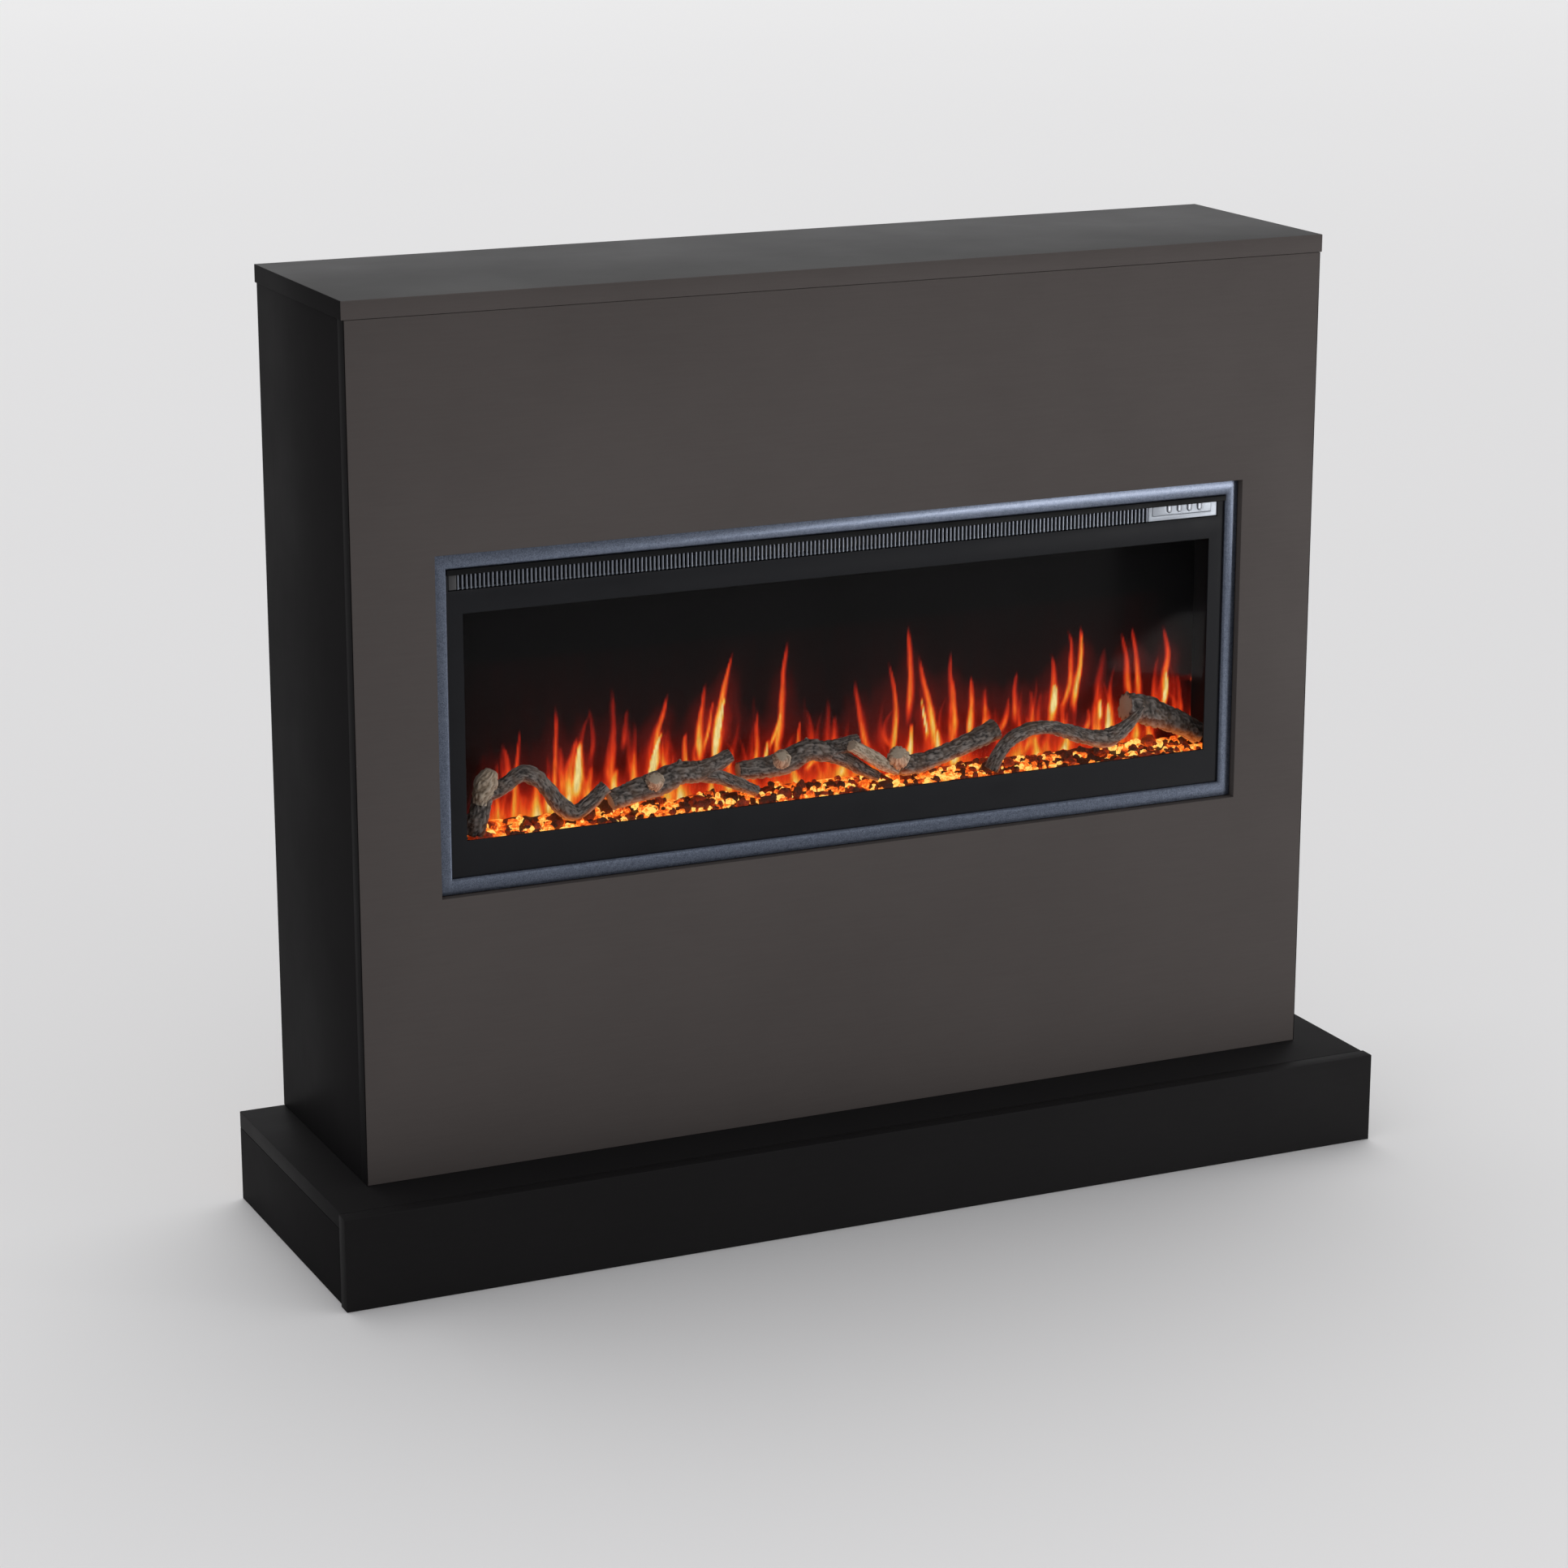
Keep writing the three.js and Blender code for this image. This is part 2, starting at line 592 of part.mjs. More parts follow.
function makeFanHeater() {
  const heater = new THREE.Group();
  const y = wheelDepthPlace;
  const z = ductMiddle;
  const scroll = wheelRadius + scrollGap;
  const houseX = about(wheelLength + 2 * wheelEndGap);
  const endLeft = [houseX[0] - seam - sheet, houseX[0] - seam];
  const endRight = [houseX[1] + seam, houseX[1] + seam + sheet];
  const motorX = [endRight[1] + motorGap, endRight[1] + motorGap + motorLength];
  const shaftX = [endLeft[0] - shaftPast, motorX[1] - shaftShort];

  // The scroll is a floor that runs into an arc behind the wheel, as one bent sheet.
  const housing = new THREE.Shape();
  const mouth = y - wheelRadius - scrollMouth;
  const outer = scroll + scrollSheet;
  const arcEnd = THREE.MathUtils.degToRad(scrollEnd);
  housing.moveTo(mouth, z - outer);
  housing.lineTo(y, z - outer);
  housing.absarc(y, z, outer, -Math.PI / 2, arcEnd, false);
  housing.absarc(y, z, scroll, arcEnd, -Math.PI / 2, true);
  housing.lineTo(mouth, z - scroll);
  add(heater, 'blower_housing', prismX(housing, houseX), 'zincSteel');

  const bore = (x) => rodX(shaftRadius + boreClearance, [x[0] - overcut, x[1] + overcut], y, z, boreSides);
  for (const [name, x] of [['blower_left_end', endLeft], ['blower_right_end', endRight]]) {
    const plate = block(x, [mouth, y + outer], about(2 * outer, z));
    add(heater, name, cut(plate, bore(x)), 'zincSteel');
  }

  const parts = [rodX(shaftRadius, shaftX, y, z, boreSides)];
  for (const x of [-wheelLength / 2, 0, wheelLength / 2]) {
    parts.push(rodX(wheelRadius, about(discThickness, x), y, z, discSides));
  }
  for (let i = 0; i < wheelBlades; i++) {
    const blade = block(about(wheelLength), about(bladeThickness),
      [wheelRadius - bladeWidth, wheelRadius - bladeInset]);
    parts.push(blade.rotateX((2 * Math.PI * i) / wheelBlades).translate(0, y, z));
  }
  add(heater, 'blower_wheel', join(...parts), 'blackPlastic');

  const motor = rodX(motorRadius, motorX, y, z);
  add(heater, 'blower_motor', cut(motor, bore([motorX[0], shaftX[1]])), 'zincSteel');

  const frameY = [heaterDepthPlace, heaterDepthPlace + heaterDepth];
  const frameZ = [ductLow + seam, ductHigh - seam];
  const windowX = about(heaterWidth - 2 * heaterBorder);
  const windowZ = [frameZ[0] + heaterBorder, frameZ[1] - heaterBorder];
  const gap = block(windowX, [frameY[0] - overcut, frameY[1] + overcut], windowZ);
  add(heater, 'heater_frame', cut(block(about(heaterWidth), frameY, frameZ), gap), 'mica');

  // The element is a flat ribbon folded up and down across the frame's window.
  const legs = Math.floor((windowX[1] - windowX[0] - 2 * ribbonSideGap) / ribbonPitch);
  const legZ = [windowZ[0] + ribbonEndGap, windowZ[1] - ribbonEndGap];
  const ribbonY = about(ribbonWidth, heaterDepthPlace + heaterDepth / 2);
  const folds = [];
  for (let i = 0; i < legs; i++) {
    const x = (i - (legs - 1) / 2) * ribbonPitch;
    folds.push(block(about(ribbonThickness, x), ribbonY, legZ));
    const foldZ = i % 2 ? [legZ[0], legZ[0] + ribbonThickness] : [legZ[1] - ribbonThickness, legZ[1]];
    if (i < legs - 1) folds.push(block([x, x + ribbonPitch], ribbonY, foldZ));
  }
  add(heater, 'heating_element', join(...folds), 'heatCore');

  const cutoutX = (heaterWidth - heaterBorder) / 2;
  const cutoutY = [heaterDepthPlace - seam - cutoutHeight, heaterDepthPlace - seam];
  add(heater, 'thermal_cutout', rodY(cutoutRadius, cutoutY, cutoutX, z, cutoutSides), 'zincSteel');

  const loom = bar(loomPoints, loomRadius, loomSteps);
  add(heater, 'wiring_loom', loom, 'blackPlastic');
  return heater;
}

// ---------------------------------------------------------------- flame effect

function lampBoard(y) {
  const floor = innerFloor + seam;
  const boardHalf = innerHalf - rotorEndGap - rotorMotorLength - lampBoardEndGap;
  const top = floor + lampBoardThickness;
  const parts = [block(about(2 * boardHalf), about(lampBoardWidth, y), [floor, top])];
  const pitch = (2 * boardHalf) / lampCount;
  for (let i = 0; i < lampCount; i++) {
    const x = (i - (lampCount - 1) / 2) * pitch;
    parts.push(block(about(lampSize, x), about(lampSize, y), [top - lampSink, top + lampHeight]));
  }
  return join(...parts);
}

function makeFlameEffect() {
  const effect = new THREE.Group();
  const screenY = [screenPlace, screenPlace + screenThickness];
  const screenZ = [windowLow - screenDrop, baffleZ - seam];
  const screen = block(about(2 * (innerHalf - bedGap)), screenY, screenZ);
  add(effect, 'flame_screen', screen, 'flamePanel');

  const motorX = [-innerHalf + rotorEndGap, -innerHalf + rotorEndGap + rotorMotorLength];
  const bushX = [innerHalf - rotorEndGap - bushThickness, innerHalf - rotorEndGap];
  const shaftX = [motorX[1] - rotorShaftInMotor, bushX[1] - rotorShaftShort];
  const bore = (x) => rodX(rotorShaft + boreClearance, [x[0] - overcut, x[1] + overcut],
    rotorPlace, rotorZ, boreSides);
  const floor = innerFloor + seam;

  const parts = [rodX(rotorShaft, shaftX, rotorPlace, rotorZ, boreSides)];
  const flagStart = motorX[1] + flagWidth;
  const flagPitch = (bushX[0] - flagWidth - flagStart) / (flagCount - 1);
  for (let i = 0; i < flagCount; i++) {
    const flag = block(about(flagWidth), about(flagThickness), [0, rotorRadius]);
    flag.rotateX(THREE.MathUtils.degToRad(flagTurn * i));
    parts.push(flag.translate(flagStart + i * flagPitch, rotorPlace, rotorZ));
  }
  add(effect, 'flame_rotor', join(...parts), 'silverPlastic');

  const body = rodX(rotorMotorRadius, motorX, rotorPlace, rotorZ);
  const footX = [motorX[0], motorX[0] + rotorFootThickness];
  const foot = block(footX, about(2 * rotorMotorRadius, rotorPlace), [floor, rotorZ]);
  const motor = cut(join(body, foot), bore([shaftX[0], motorX[1]]));
  add(effect, 'rotor_motor', motor, 'zincSteel');

  const bearing = block(bushX, about(2 * rotorRadius, rotorPlace), [floor, rotorZ + rotorRadius]);
  add(effect, 'rotor_bush', cut(bearing, bore(bushX)), 'blackPlastic');

  add(effect, 'flame_lamp_board', lampBoard(rotorPlace), 'circuitBoard');
  add(effect, 'ember_lamp_board', lampBoard((glassY + screenPlace) / 2), 'circuitBoard');
  return effect;
}

// ---------------------------------------------------------------- ember bed and logs

const logLine = 45;               // depth of the middle of the logs
const bedHeight = (y) => bedZ + bedSlope * (y - logLine);

// The bed is a thin moulded tray, open underneath, that the lamps shine through.
function emberTray() {
  const front = glassY + glassThickness + bedFront;
  const back = screenPlace - bedBack;
  const foot = innerFloor + seam;
  const slopeEnd = front + bedLipDepth;
  const [moreDepth, moreDrop] = bedLipSkin;
  const shape = outline([
    [front, foot],
    [front, bedHeight(front) - bedLipDrop],
    [slopeEnd, bedHeight(slopeEnd)],
    [back, bedHeight(back)],
    [back, foot],
    [back - bedSkin, foot],
    [back - bedSkin, bedHeight(back) - bedSkin],
    [slopeEnd + moreDepth, bedHeight(slopeEnd + moreDepth) - bedSkin],
    [front + bedSkin, bedHeight(front) - bedLipDrop - moreDrop],
    [front + bedSkin, foot],
  ]);
  const half = innerHalf - bedGap;
  return prismX(shape, [-half, half]);
}

// Each log's spine: across the window, depth, height over the bed. A second spine is a branch.
const logs = {
  log_1: {
    radius: 8,
    spines: [[[-403, 45, 14], [-400, 44, 42], [-386, 44, 57], [-356, 45, 63], [-330, 46, 42],
      [-306, 46, 20], [-290, 46, 27], [-276, 46, 36]]],
  },
  log_2: {
    radius: 10,
    spines: [
      [[-254, 44, 26], [-235, 45, 31], [-208, 47, 38], [-180, 48, 46], [-155, 48, 45], [-132, 47, 51]],
      [[-165, 48, 45], [-140, 47, 37], [-122, 45, 27], [-100, 43, 18]],
    ],
  },
  log_3: {
    radius: 10,
    spines: [
      [[-108, 55, 42], [-88, 55, 40], [-66, 54, 43], [-38, 53, 52], [-11, 53, 49], [24, 53, 56]],
      [[-20, 53, 49], [2, 53, 40], [24, 53, 28], [47, 53, 17]],
    ],
  },
  log_4: {
    radius: 10,
    spines: [
      [[71, 48, 27], [88, 48, 26], [130, 50, 34], [166, 51, 43], [187, 51, 52]],
      [[14, 32, 54], [42, 39, 38], [74, 47, 25]],
    ],
    branchRadius: 6,
  },
  log_5: {
    radius: 7,
    spines: [[[181, 38, 11], [203, 37, 37], [228, 36, 48], [254, 36, 47], [292, 35, 36],
      [322, 33, 27], [345, 31, 38], [365, 30, 55]]],
  },
  log_6: {
    radius: 13,
    spines: [[[342, 58, 60], [368, 58, 52], [403, 58, 36], [438, 58, 22]]],
  },
};

function makeBed() {
  const bed = new THREE.Group();
  add(bed, 'ember_tray', emberTray(), 'emberResin');
  const spread = (2 * windowHalf) / drawnWindowWidth;
  const place = ([x, y, rise]) => [x * spread, y, bedZ + rise];
  for (const [name, { radius, spines, branchRadius }] of Object.entries(logs)) {
    const [trunk, branch] = spines.map((spine) => spine.map(place));
    let shape = bar(trunk, radius, 2 * trunk.length);
    if (branch) shape = join(shape, bar(branch, branchRadius ?? radius - 1, 2 * branch.length));
    add(bed, name, shape, 'bark');
  }
  return bed;
}

// ---------------------------------------------------------------- the whole fireplace

const fireplace = new THREE.Group();
fireplace.add(makePlinth(), makeMantel());

const insert = new THREE.Group();
insert.position.set(0, mantelFrontY, openingCentreZ);
insert.add(makeInsertFront(), makeControls(), makeCasing(), makeFanHeater(), makeFlameEffect(), makeBed());
fireplace.add(insert);

export default fireplace;
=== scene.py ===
import math

import bpy
import numpy as np
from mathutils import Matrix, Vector


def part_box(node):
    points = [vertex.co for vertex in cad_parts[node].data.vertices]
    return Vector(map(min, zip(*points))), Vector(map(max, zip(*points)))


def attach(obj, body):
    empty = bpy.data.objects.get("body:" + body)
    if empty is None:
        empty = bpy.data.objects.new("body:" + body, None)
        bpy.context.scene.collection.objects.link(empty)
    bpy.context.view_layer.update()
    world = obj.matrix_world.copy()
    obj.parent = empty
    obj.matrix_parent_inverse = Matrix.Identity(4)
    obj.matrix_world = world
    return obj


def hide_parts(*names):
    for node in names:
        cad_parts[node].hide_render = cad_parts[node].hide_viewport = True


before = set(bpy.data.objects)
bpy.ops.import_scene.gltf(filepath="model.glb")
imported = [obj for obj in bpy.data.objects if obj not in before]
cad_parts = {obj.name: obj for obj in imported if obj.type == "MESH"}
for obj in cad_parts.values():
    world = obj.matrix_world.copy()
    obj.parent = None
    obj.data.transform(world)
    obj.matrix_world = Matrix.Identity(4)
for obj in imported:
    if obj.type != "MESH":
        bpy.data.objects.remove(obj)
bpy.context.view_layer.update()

mm = 0.001  # everything below is worked out in millimetres


def nodeBox(node):
    # lowest and highest corner of a CAD node, in millimetres
    low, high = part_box(node)
    return np.array(low) / mm, np.array(high) / mm


panelLow, panelHigh = nodeBox("front_panel")
trimLow, trimHigh = nodeBox("trim_frame")
hoodLow, hoodHigh = nodeBox("outlet_hood")
frontY = panelLow[1]

# ---- camera

cameraPlace = {
    "eye": (-1836.3, -3905.2, 1627.9),  # millimetres, in the row frame
    "turn": 24.727,  # degrees from +Y towards +X
    "tilt": 15.435,  # degrees down
    "lens": 96.249,
    "sensor": 36.0,
    "clip": (0.05, 200.0),  # metres
}


def makeCamera(place):
    data = bpy.data.cameras.new("camera")
    data.lens, data.sensor_width = place["lens"], place["sensor"]
    data.clip_start, data.clip_end = place["clip"]
    camera = bpy.data.objects.new("camera", data)
    bpy.context.scene.collection.objects.link(camera)
    turn, tilt = math.radians(place["turn"]), math.radians(place["tilt"])
    look = Vector((math.sin(turn) * math.cos(tilt), math.cos(turn) * math.cos(tilt), -math.sin(tilt)))
    camera.location = Vector(place["eye"]) * mm
    camera.rotation_mode = "QUATERNION"
    camera.rotation_quaternion = look.to_track_quat("-Z", "Y")
    bpy.context.scene.camera = camera


makeCamera(cameraPlace)


def behind(points, depth):
    # points drawn on the panel's face, carried back along the line of sight to a depth behind it
    eye = np.array(cameraPlace["eye"])
    points = np.asarray(points, float)
    onFace = np.stack([points[..., 0], np.full(points.shape[:-1], frontY), points[..., 1]], -1)
    share = (frontY + depth - eye[1]) / (frontY - eye[1])
    return eye + (onFace - eye) * np.asarray(share)[..., None]


print("camera placed")

# ---- numbers and surfaces


def smoothStep(low, high, value):
    t = np.clip((value - low) / (high - low), 0, 1)
    return t * t * (3 - 2 * t)


lattice = {"size": 1024, "stride": np.array([73, 179, 283])}


def valueNoise(points, seed):
    # smooth random values on a unit lattice: eight corners blended by smoothstep weights, in 0..1
    table = np.random.default_rng(seed).random(lattice["size"])
    cell = np.floor(points).astype(np.int64)
    part = points - cell
    part = part * part * (3 - 2 * part)
    total = np.zeros(points.shape[:-1])
    for corner in range(8):
        step = np.array([corner & 1, (corner >> 1) & 1, (corner >> 2) & 1])
        at = cell + step
        pick = (at @ lattice["stride"]) % lattice["size"]
        weight = np.where(step == 1, part, 1 - part).prod(-1)
        total += table[pick] * weight
    return total


def layeredNoise(points, seed, layers=4, roughness=0.5):
    # value noise at doubling pitch, each layer weaker than the last, in 0..1
    total, weight, most = 0.0, 1.0, 0.0
    for layer in range(layers):
        total = total + weight * valueNoise(points * 2.0**layer, seed + layer)
        most, weight = most + weight, weight * roughness
    return total / most


def gridQuads(rows, columns, wrapRows=False, wrapColumns=False):
    # quads between neighbouring rows and columns of a grid of points
    r = np.arange(rows if wrapRows else rows - 1)
    c = np.arange(columns if wrapColumns else columns - 1)
    r, c = np.meshgrid(r, c, indexing="ij")
    r2, c2 = (r + 1) % rows, (c + 1) % columns
    quads = np.stack([r * columns + c, r * columns + c2, r2 * columns + c2, r2 * columns + c], -1)
    return quads.reshape(-1, 4).tolist()


def enclosedVolume(points, faces):
    # sum of the tetrahedra from the origin to each face's fan of triangles
    total = 0.0
    for size in {len(f) for f in faces}:
        index = np.array([f for f in faces if len(f) == size])
        for k in range(1, size - 1):
            a, b, c = points[index[:, 0]], points[index[:, k]], points[index[:, k + 1]]
            total += np.einsum("ij,ij->i", a, np.cross(b, c)).sum()
    return total / 6


def makePiece(name, points, faces, material, slot=None, body="fireplace", nodes=(), sharp=40.0, seen=True):
    # a mesh from points in millimetres; its faces are turned outwards, and it rides on a body
    points = np.asarray(points, float).reshape(-1, 3)
    if enclosedVolume(points - points.mean(0), faces) < 0:
        faces = [f[::-1] for f in faces]
    mesh = bpy.data.meshes.new(name)
    mesh.from_pydata((points * mm).tolist(), [], faces)
    mesh.validate()
    mesh.shade_smooth()
    mesh.set_sharp_from_angle(angle=math.radians(sharp))
    mesh.materials.append(material)
    piece = bpy.data.objects.new(name, mesh)
    bpy.context.scene.collection.objects.link(piece)
    if seen:
        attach(piece, body)
        if nodes:
            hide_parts(*nodes)
    return piece


def setNumbers(piece, name, values):
    # one number for each point of a piece, for its material to read
    attribute = piece.data.attributes.new(name, "FLOAT", "POINT")
    attribute.data.foreach_set("value", np.ascontiguousarray(values, np.float32).ravel())


def setColours(piece, name, colours):
    attribute = piece.data.attributes.new(name, "FLOAT_COLOR", "POINT")
    full = np.concatenate([colours.reshape(-1, 3), np.ones((colours.size // 3, 1))], 1)
    attribute.data.foreach_set("color", full.astype(np.float32).ravel())


def stackLoops(loops, closed=False):
    # rings of points joined side to side; the ends are capped, or the last ring meets the first
    loops = np.asarray(loops, float)
    rings, around = loops.shape[:2]
    faces = gridQuads(rings, around, wrapRows=closed, wrapColumns=True)
    if not closed:
        last = (rings - 1) * around
        faces.append(list(range(around))[::-1])
        faces.append([last + i for i in range(around)])
    return loops.reshape(-1, 3), faces


def roundedLoop(low, high, radius, corner=4):
    # a rectangle with round corners, as points in its own plane, anticlockwise
    turn = np.linspace(0, np.pi / 2, corner)
    arc = np.stack([np.cos(turn), np.sin(turn)], -1) * radius
    parts = []
    for k, (sx, sy) in enumerate([(1, 1), (-1, 1), (-1, -1), (1, -1)]):
        centre = np.array([high[0] if sx > 0 else low[0], high[1] if sy > 0 else low[1]])
        centre = centre - np.array([sx, sy]) * radius
        spin = np.array([[math.cos(k * np.pi / 2), math.sin(k * np.pi / 2)],
                         [-math.sin(k * np.pi / 2), math.cos(k * np.pi / 2)]])
        parts.append(centre + arc @ spin)
    return np.concatenate(parts)


def roundedBlock(low, high, edge, steps=3):
    # rounded rectangles stacked along Y; the first and last few draw in along a quarter circle
    low, high = np.asarray(low, float), np.asarray(high, float)
    turn = np.linspace(0, np.pi / 2, steps)
    inset = np.concatenate([edge * (1 - np.sin(turn)), edge * (1 - np.sin(turn))[::-1]])
    depth = np.concatenate([low[1] + edge * (1 - np.cos(turn)), (high[1] - edge * (1 - np.cos(turn)))[::-1]])
    loops = []
    for draw, y in zip(inset, depth):
        flat = roundedLoop(low[[0, 2]] + draw, high[[0, 2]] - draw, edge * 0.9)
        loops.append(np.stack([flat[:, 0], np.full(len(flat), y), flat[:, 1]], -1))
    return stackLoops(loops)


def mitredFrame(inner, outer, profile):
    # a section carried round a rectangle with mitred corners. The section's points are (share, depth):
    # share 0 lies on the inner rectangle and 1 on the outer one, with a rider in millimetres outwards
    inner, outer = np.asarray(inner, float), np.asarray(outer, float)
    signs = np.array([(1, 1), (-1, 1), (-1, -1), (1, -1)])
    pick = ((signs + 1) // 2).astype(int)
    innerCorner = np.stack([inner[pick[:, 0], 0], inner[pick[:, 1], 1]], -1)
    outerCorner = np.stack([outer[pick[:, 0], 0], outer[pick[:, 1], 1]], -1)
    loops = []
    for share, extra, depth in profile:
        flat = innerCorner + (outerCorner - innerCorner) * share + signs * extra
        loops.append(np.stack([flat[:, 0], np.full(4, depth), flat[:, 1]], -1))
    return stackLoops(loops, closed=True)


def repeatShell(points, faces, offsets):
    # the same closed shell at many places
    points, offsets = np.asarray(points, float), np.asarray(offsets, float)
    count = len(points)
    every = (points[None] + offsets[:, None]).reshape(-1, 3)
    allFaces = [[i + k * count for i in f] for k in range(len(offsets)) for f in faces]
    return every, allFaces


def lathe(profile, centre, axis, around=20):
    # a profile of (radius, distance) turned about an axis; both ends lie on the axis
    profile = np.asarray(profile, float)
    turn = np.linspace(0, 2 * np.pi, around, endpoint=False)
    ring = np.stack([np.cos(turn), np.sin(turn)], -1)
    flat = profile[1:-1, 0, None, None] * ring
    along = np.broadcast_to(profile[1:-1, 1, None, None], flat[..., :1].shape)
    order = {"x": (2, 0, 1), "y": (1, 2, 0), "z": (0, 1, 2)}[axis]
    body = np.concatenate([flat, along], -1)[..., order].reshape(-1, 3)
    tips = np.array([[0, 0, profile[0, 1]], [0, 0, profile[-1, 1]]])[:, order]
    faces = gridQuads(len(profile) - 2, around, wrapColumns=True)
    first, last = len(body), len(body) + 1
    base = (len(profile) - 3) * around
    faces += [[first, (i + 1) % around, i] for i in range(around)]
    faces += [[last, base + i, base + (i + 1) % around] for i in range(around)]
    return np.concatenate([body, tips]) + np.asarray(centre, float), faces


def joinShells(*shells):
    points, faces, start = [], [], 0
    for p, f in shells:
        points.append(np.asarray(p, float))
        faces += [[i + start for i in face] for face in f]
        start += len(p)
    return np.concatenate(points), faces


# ---- shaders


class Value:
    # one socket of a shader; sums on it add Math nodes
    def __init__(self, shader, socket):
        self.shader, self.socket = shader, socket

    def do(self, operation, other):
        return self.shader.value("Math", {"operation": operation}, {0: self, 1: other})

    def __add__(self, other):
        return self.do("ADD", other)

    def __mul__(self, other):
        return self.do("MULTIPLY", other)

    __radd__, __rmul__ = __add__, __mul__


class Shader:
    def __init__(self, name):
        self.material = bpy.data.materials.new(name)
        self.material.use_nodes = True
        self.tree = self.material.node_tree
        self.tree.nodes.clear()
        self.place = self.value("TexCoord", output="Object")

    def node(self, kind, settings=None, values=None):
        made = self.tree.nodes.new("ShaderNode" + kind)
        for key, setting in (settings or {}).items():
            if key == "stops":
                while len(made.color_ramp.elements) < len(setting):
                    made.color_ramp.elements.new(1.0)
                for element, (at, colour) in zip(made.color_ramp.elements, setting):
                    element.position, element.color = at, (*colour, 1.0)
            else:
                setattr(made, key, setting)
        for key, value in (values or {}).items():
            if isinstance(value, Value):
                self.tree.links.new(value.socket, made.inputs[key])
            else:
                made.inputs[key].default_value = value
        return made

    def value(self, kind, settings=None, values=None, output=0):
        return Value(self, self.node(kind, settings, values).outputs[output])

    def noise(self, scale, detail=2.0, roughness=0.5, place=None):
        values = {"Vector": place or self.place, "Scale": scale, "Detail": detail, "Roughness": roughness}
        return self.value("TexNoise", {}, values)

    def cells(self, scale, place=None, feature="F1", output="Distance"):
        values = {"Vector": place or self.place, "Scale": scale}
        return self.value("TexVoronoi", {"feature": feature}, values, output)

    def stretched(self, scale, turn=(0, 0, 0)):
        values = {"Vector": self.place, "Scale": scale, "Rotation": turn}
        return self.value("Mapping", {}, values)

    def attribute(self, name, output="Fac"):
        return self.value("Attribute", {"attribute_name": name}, {}, output)

    def mix(self, factor, first, second, blend="MIX"):
        settings = {"data_type": "RGBA", "blend_type": blend, "clamp_factor": True}
        first = first if isinstance(first, Value) else (*first, 1.0)
        second = second if isinstance(second, Value) else (*second, 1.0)
        return self.value("Mix", settings, {0: factor, 6: first, 7: second}, output=2)

    def layer(self, row):
        # one pattern from its settings: flakes are cells with a value each, pebbles are distances in cells
        place = self.stretched(row["stretch"]) if "stretch" in row else None
        if "flakes" in row:
            return self.cells(row["flakes"], place, output="Color")
        if "pebbles" in row:
            return self.cells(row["pebbles"], place)
        return self.noise(row["noise"], row.get("detail", 2.0), row.get("coarse", 0.5), place)

    def ramp(self, factor, stops):
        return self.value("ValToRGB", {"stops": stops}, {"Fac": factor}, "Color")

    def spread(self, value, low, high, toLow=0.0, toHigh=1.0):
        # a number moved from one range to another and held inside it
        values = {0: value, 1: low, 2: high, 3: toLow, 4: toHigh}
        return self.value("MapRange", {"clamp": True}, values)

    def bump(self, height, distance, strength):
        return self.value("Bump", {}, {"Height": height, "Distance": distance, "Strength": strength})

    def finish(self, **sockets):
        # the surface shader: keys are socket names with their spaces left out
        surface = self.node("BsdfPrincipled")
        names = {n.replace(" ", ""): n for n in surface.inputs.keys()}
        for key, value in sockets.items():
            socket = surface.inputs[names[key]]
            if isinstance(value, Value):
                self.tree.links.new(value.socket, socket)
            elif isinstance(value, tuple) and len(value) == 3 and socket.type == "RGBA":
                socket.default_value = (*value, 1.0)
            else:
                socket.default_value = value
        out = self.node("OutputMaterial")
        self.tree.links.new(surface.outputs[0], out.inputs[0])
        return self.material


def shade(colour, share):
    return tuple(c * share for c in colour)


def weighted(layers, weights):
    # a sum of layers, each times its weight
    parts = [layers[key] if weight == 1 else layers[key] * weight for key, weight in weights.items()]
    total = parts[0]
    for part in parts[1:]:
        total = total + part
    return total


def speckled(name, look, colours, roughness, **fixed):
    # a finish of layered patterns: one sum drives the colour, one the roughness and one the relief
    s = Shader(name)
    layers = {key: s.layer(row) for key, row in look["layers"].items()}
    base = s.mix(s.spread(weighted(layers, look["tone"]), *look["toneRange"]), *colours)
    if "gloss" in look:
        fixed["Roughness"] = s.spread(weighted(layers, look["gloss"]), *look["glossRange"], *roughness)
    normal = s.bump(weighted(layers, look["relief"]), look["depth"], look["strength"])
    return s.finish(BaseColor=base, Normal=normal, **fixed)


# melamine paper on board: fine pressed grain, faint clouds, rubbed spots that are a little glossier
laminateLook = {
    "graphite": (0.0124, 0.0118, 0.0122),
    "taupe": (0.0775, 0.068, 0.065),
    "dull": 0.03,  # specular level of the front faces
    "flat": 0.008,  # of the sides, which are seen at a slant, lowered for a painted shade
    "satin": 0.30,  # and of the top, raised for a painted sheen that lights it
    "layers": {"grain": {"noise": 1400.0, "detail": 3.0, "coarse": 0.6},
               "fibre": {"noise": 1.0, "detail": 3.0, "coarse": 0.55},
               "cloud": {"noise": 5.0, "detail": 3.0, "coarse": 0.6}},
    "fibreScale": (30.0, 700.0),  # along the board and across it, per metre
    "tone": {"grain": 0.35, "fibre": 0.45, "cloud": 0.6},
    "toneRange": (0.45, 0.95),
    "contrast": (0.93, 1.07),
    "gloss": {"cloud": 1, "fibre": 0.3},
    "glossRange": (0.4, 0.9),
    "roughness": (0.59, 0.47),
    "relief": {"fibre": 0.6, "grain": 1},
    "depth": 0.00006,
    "strength": 0.35,
}


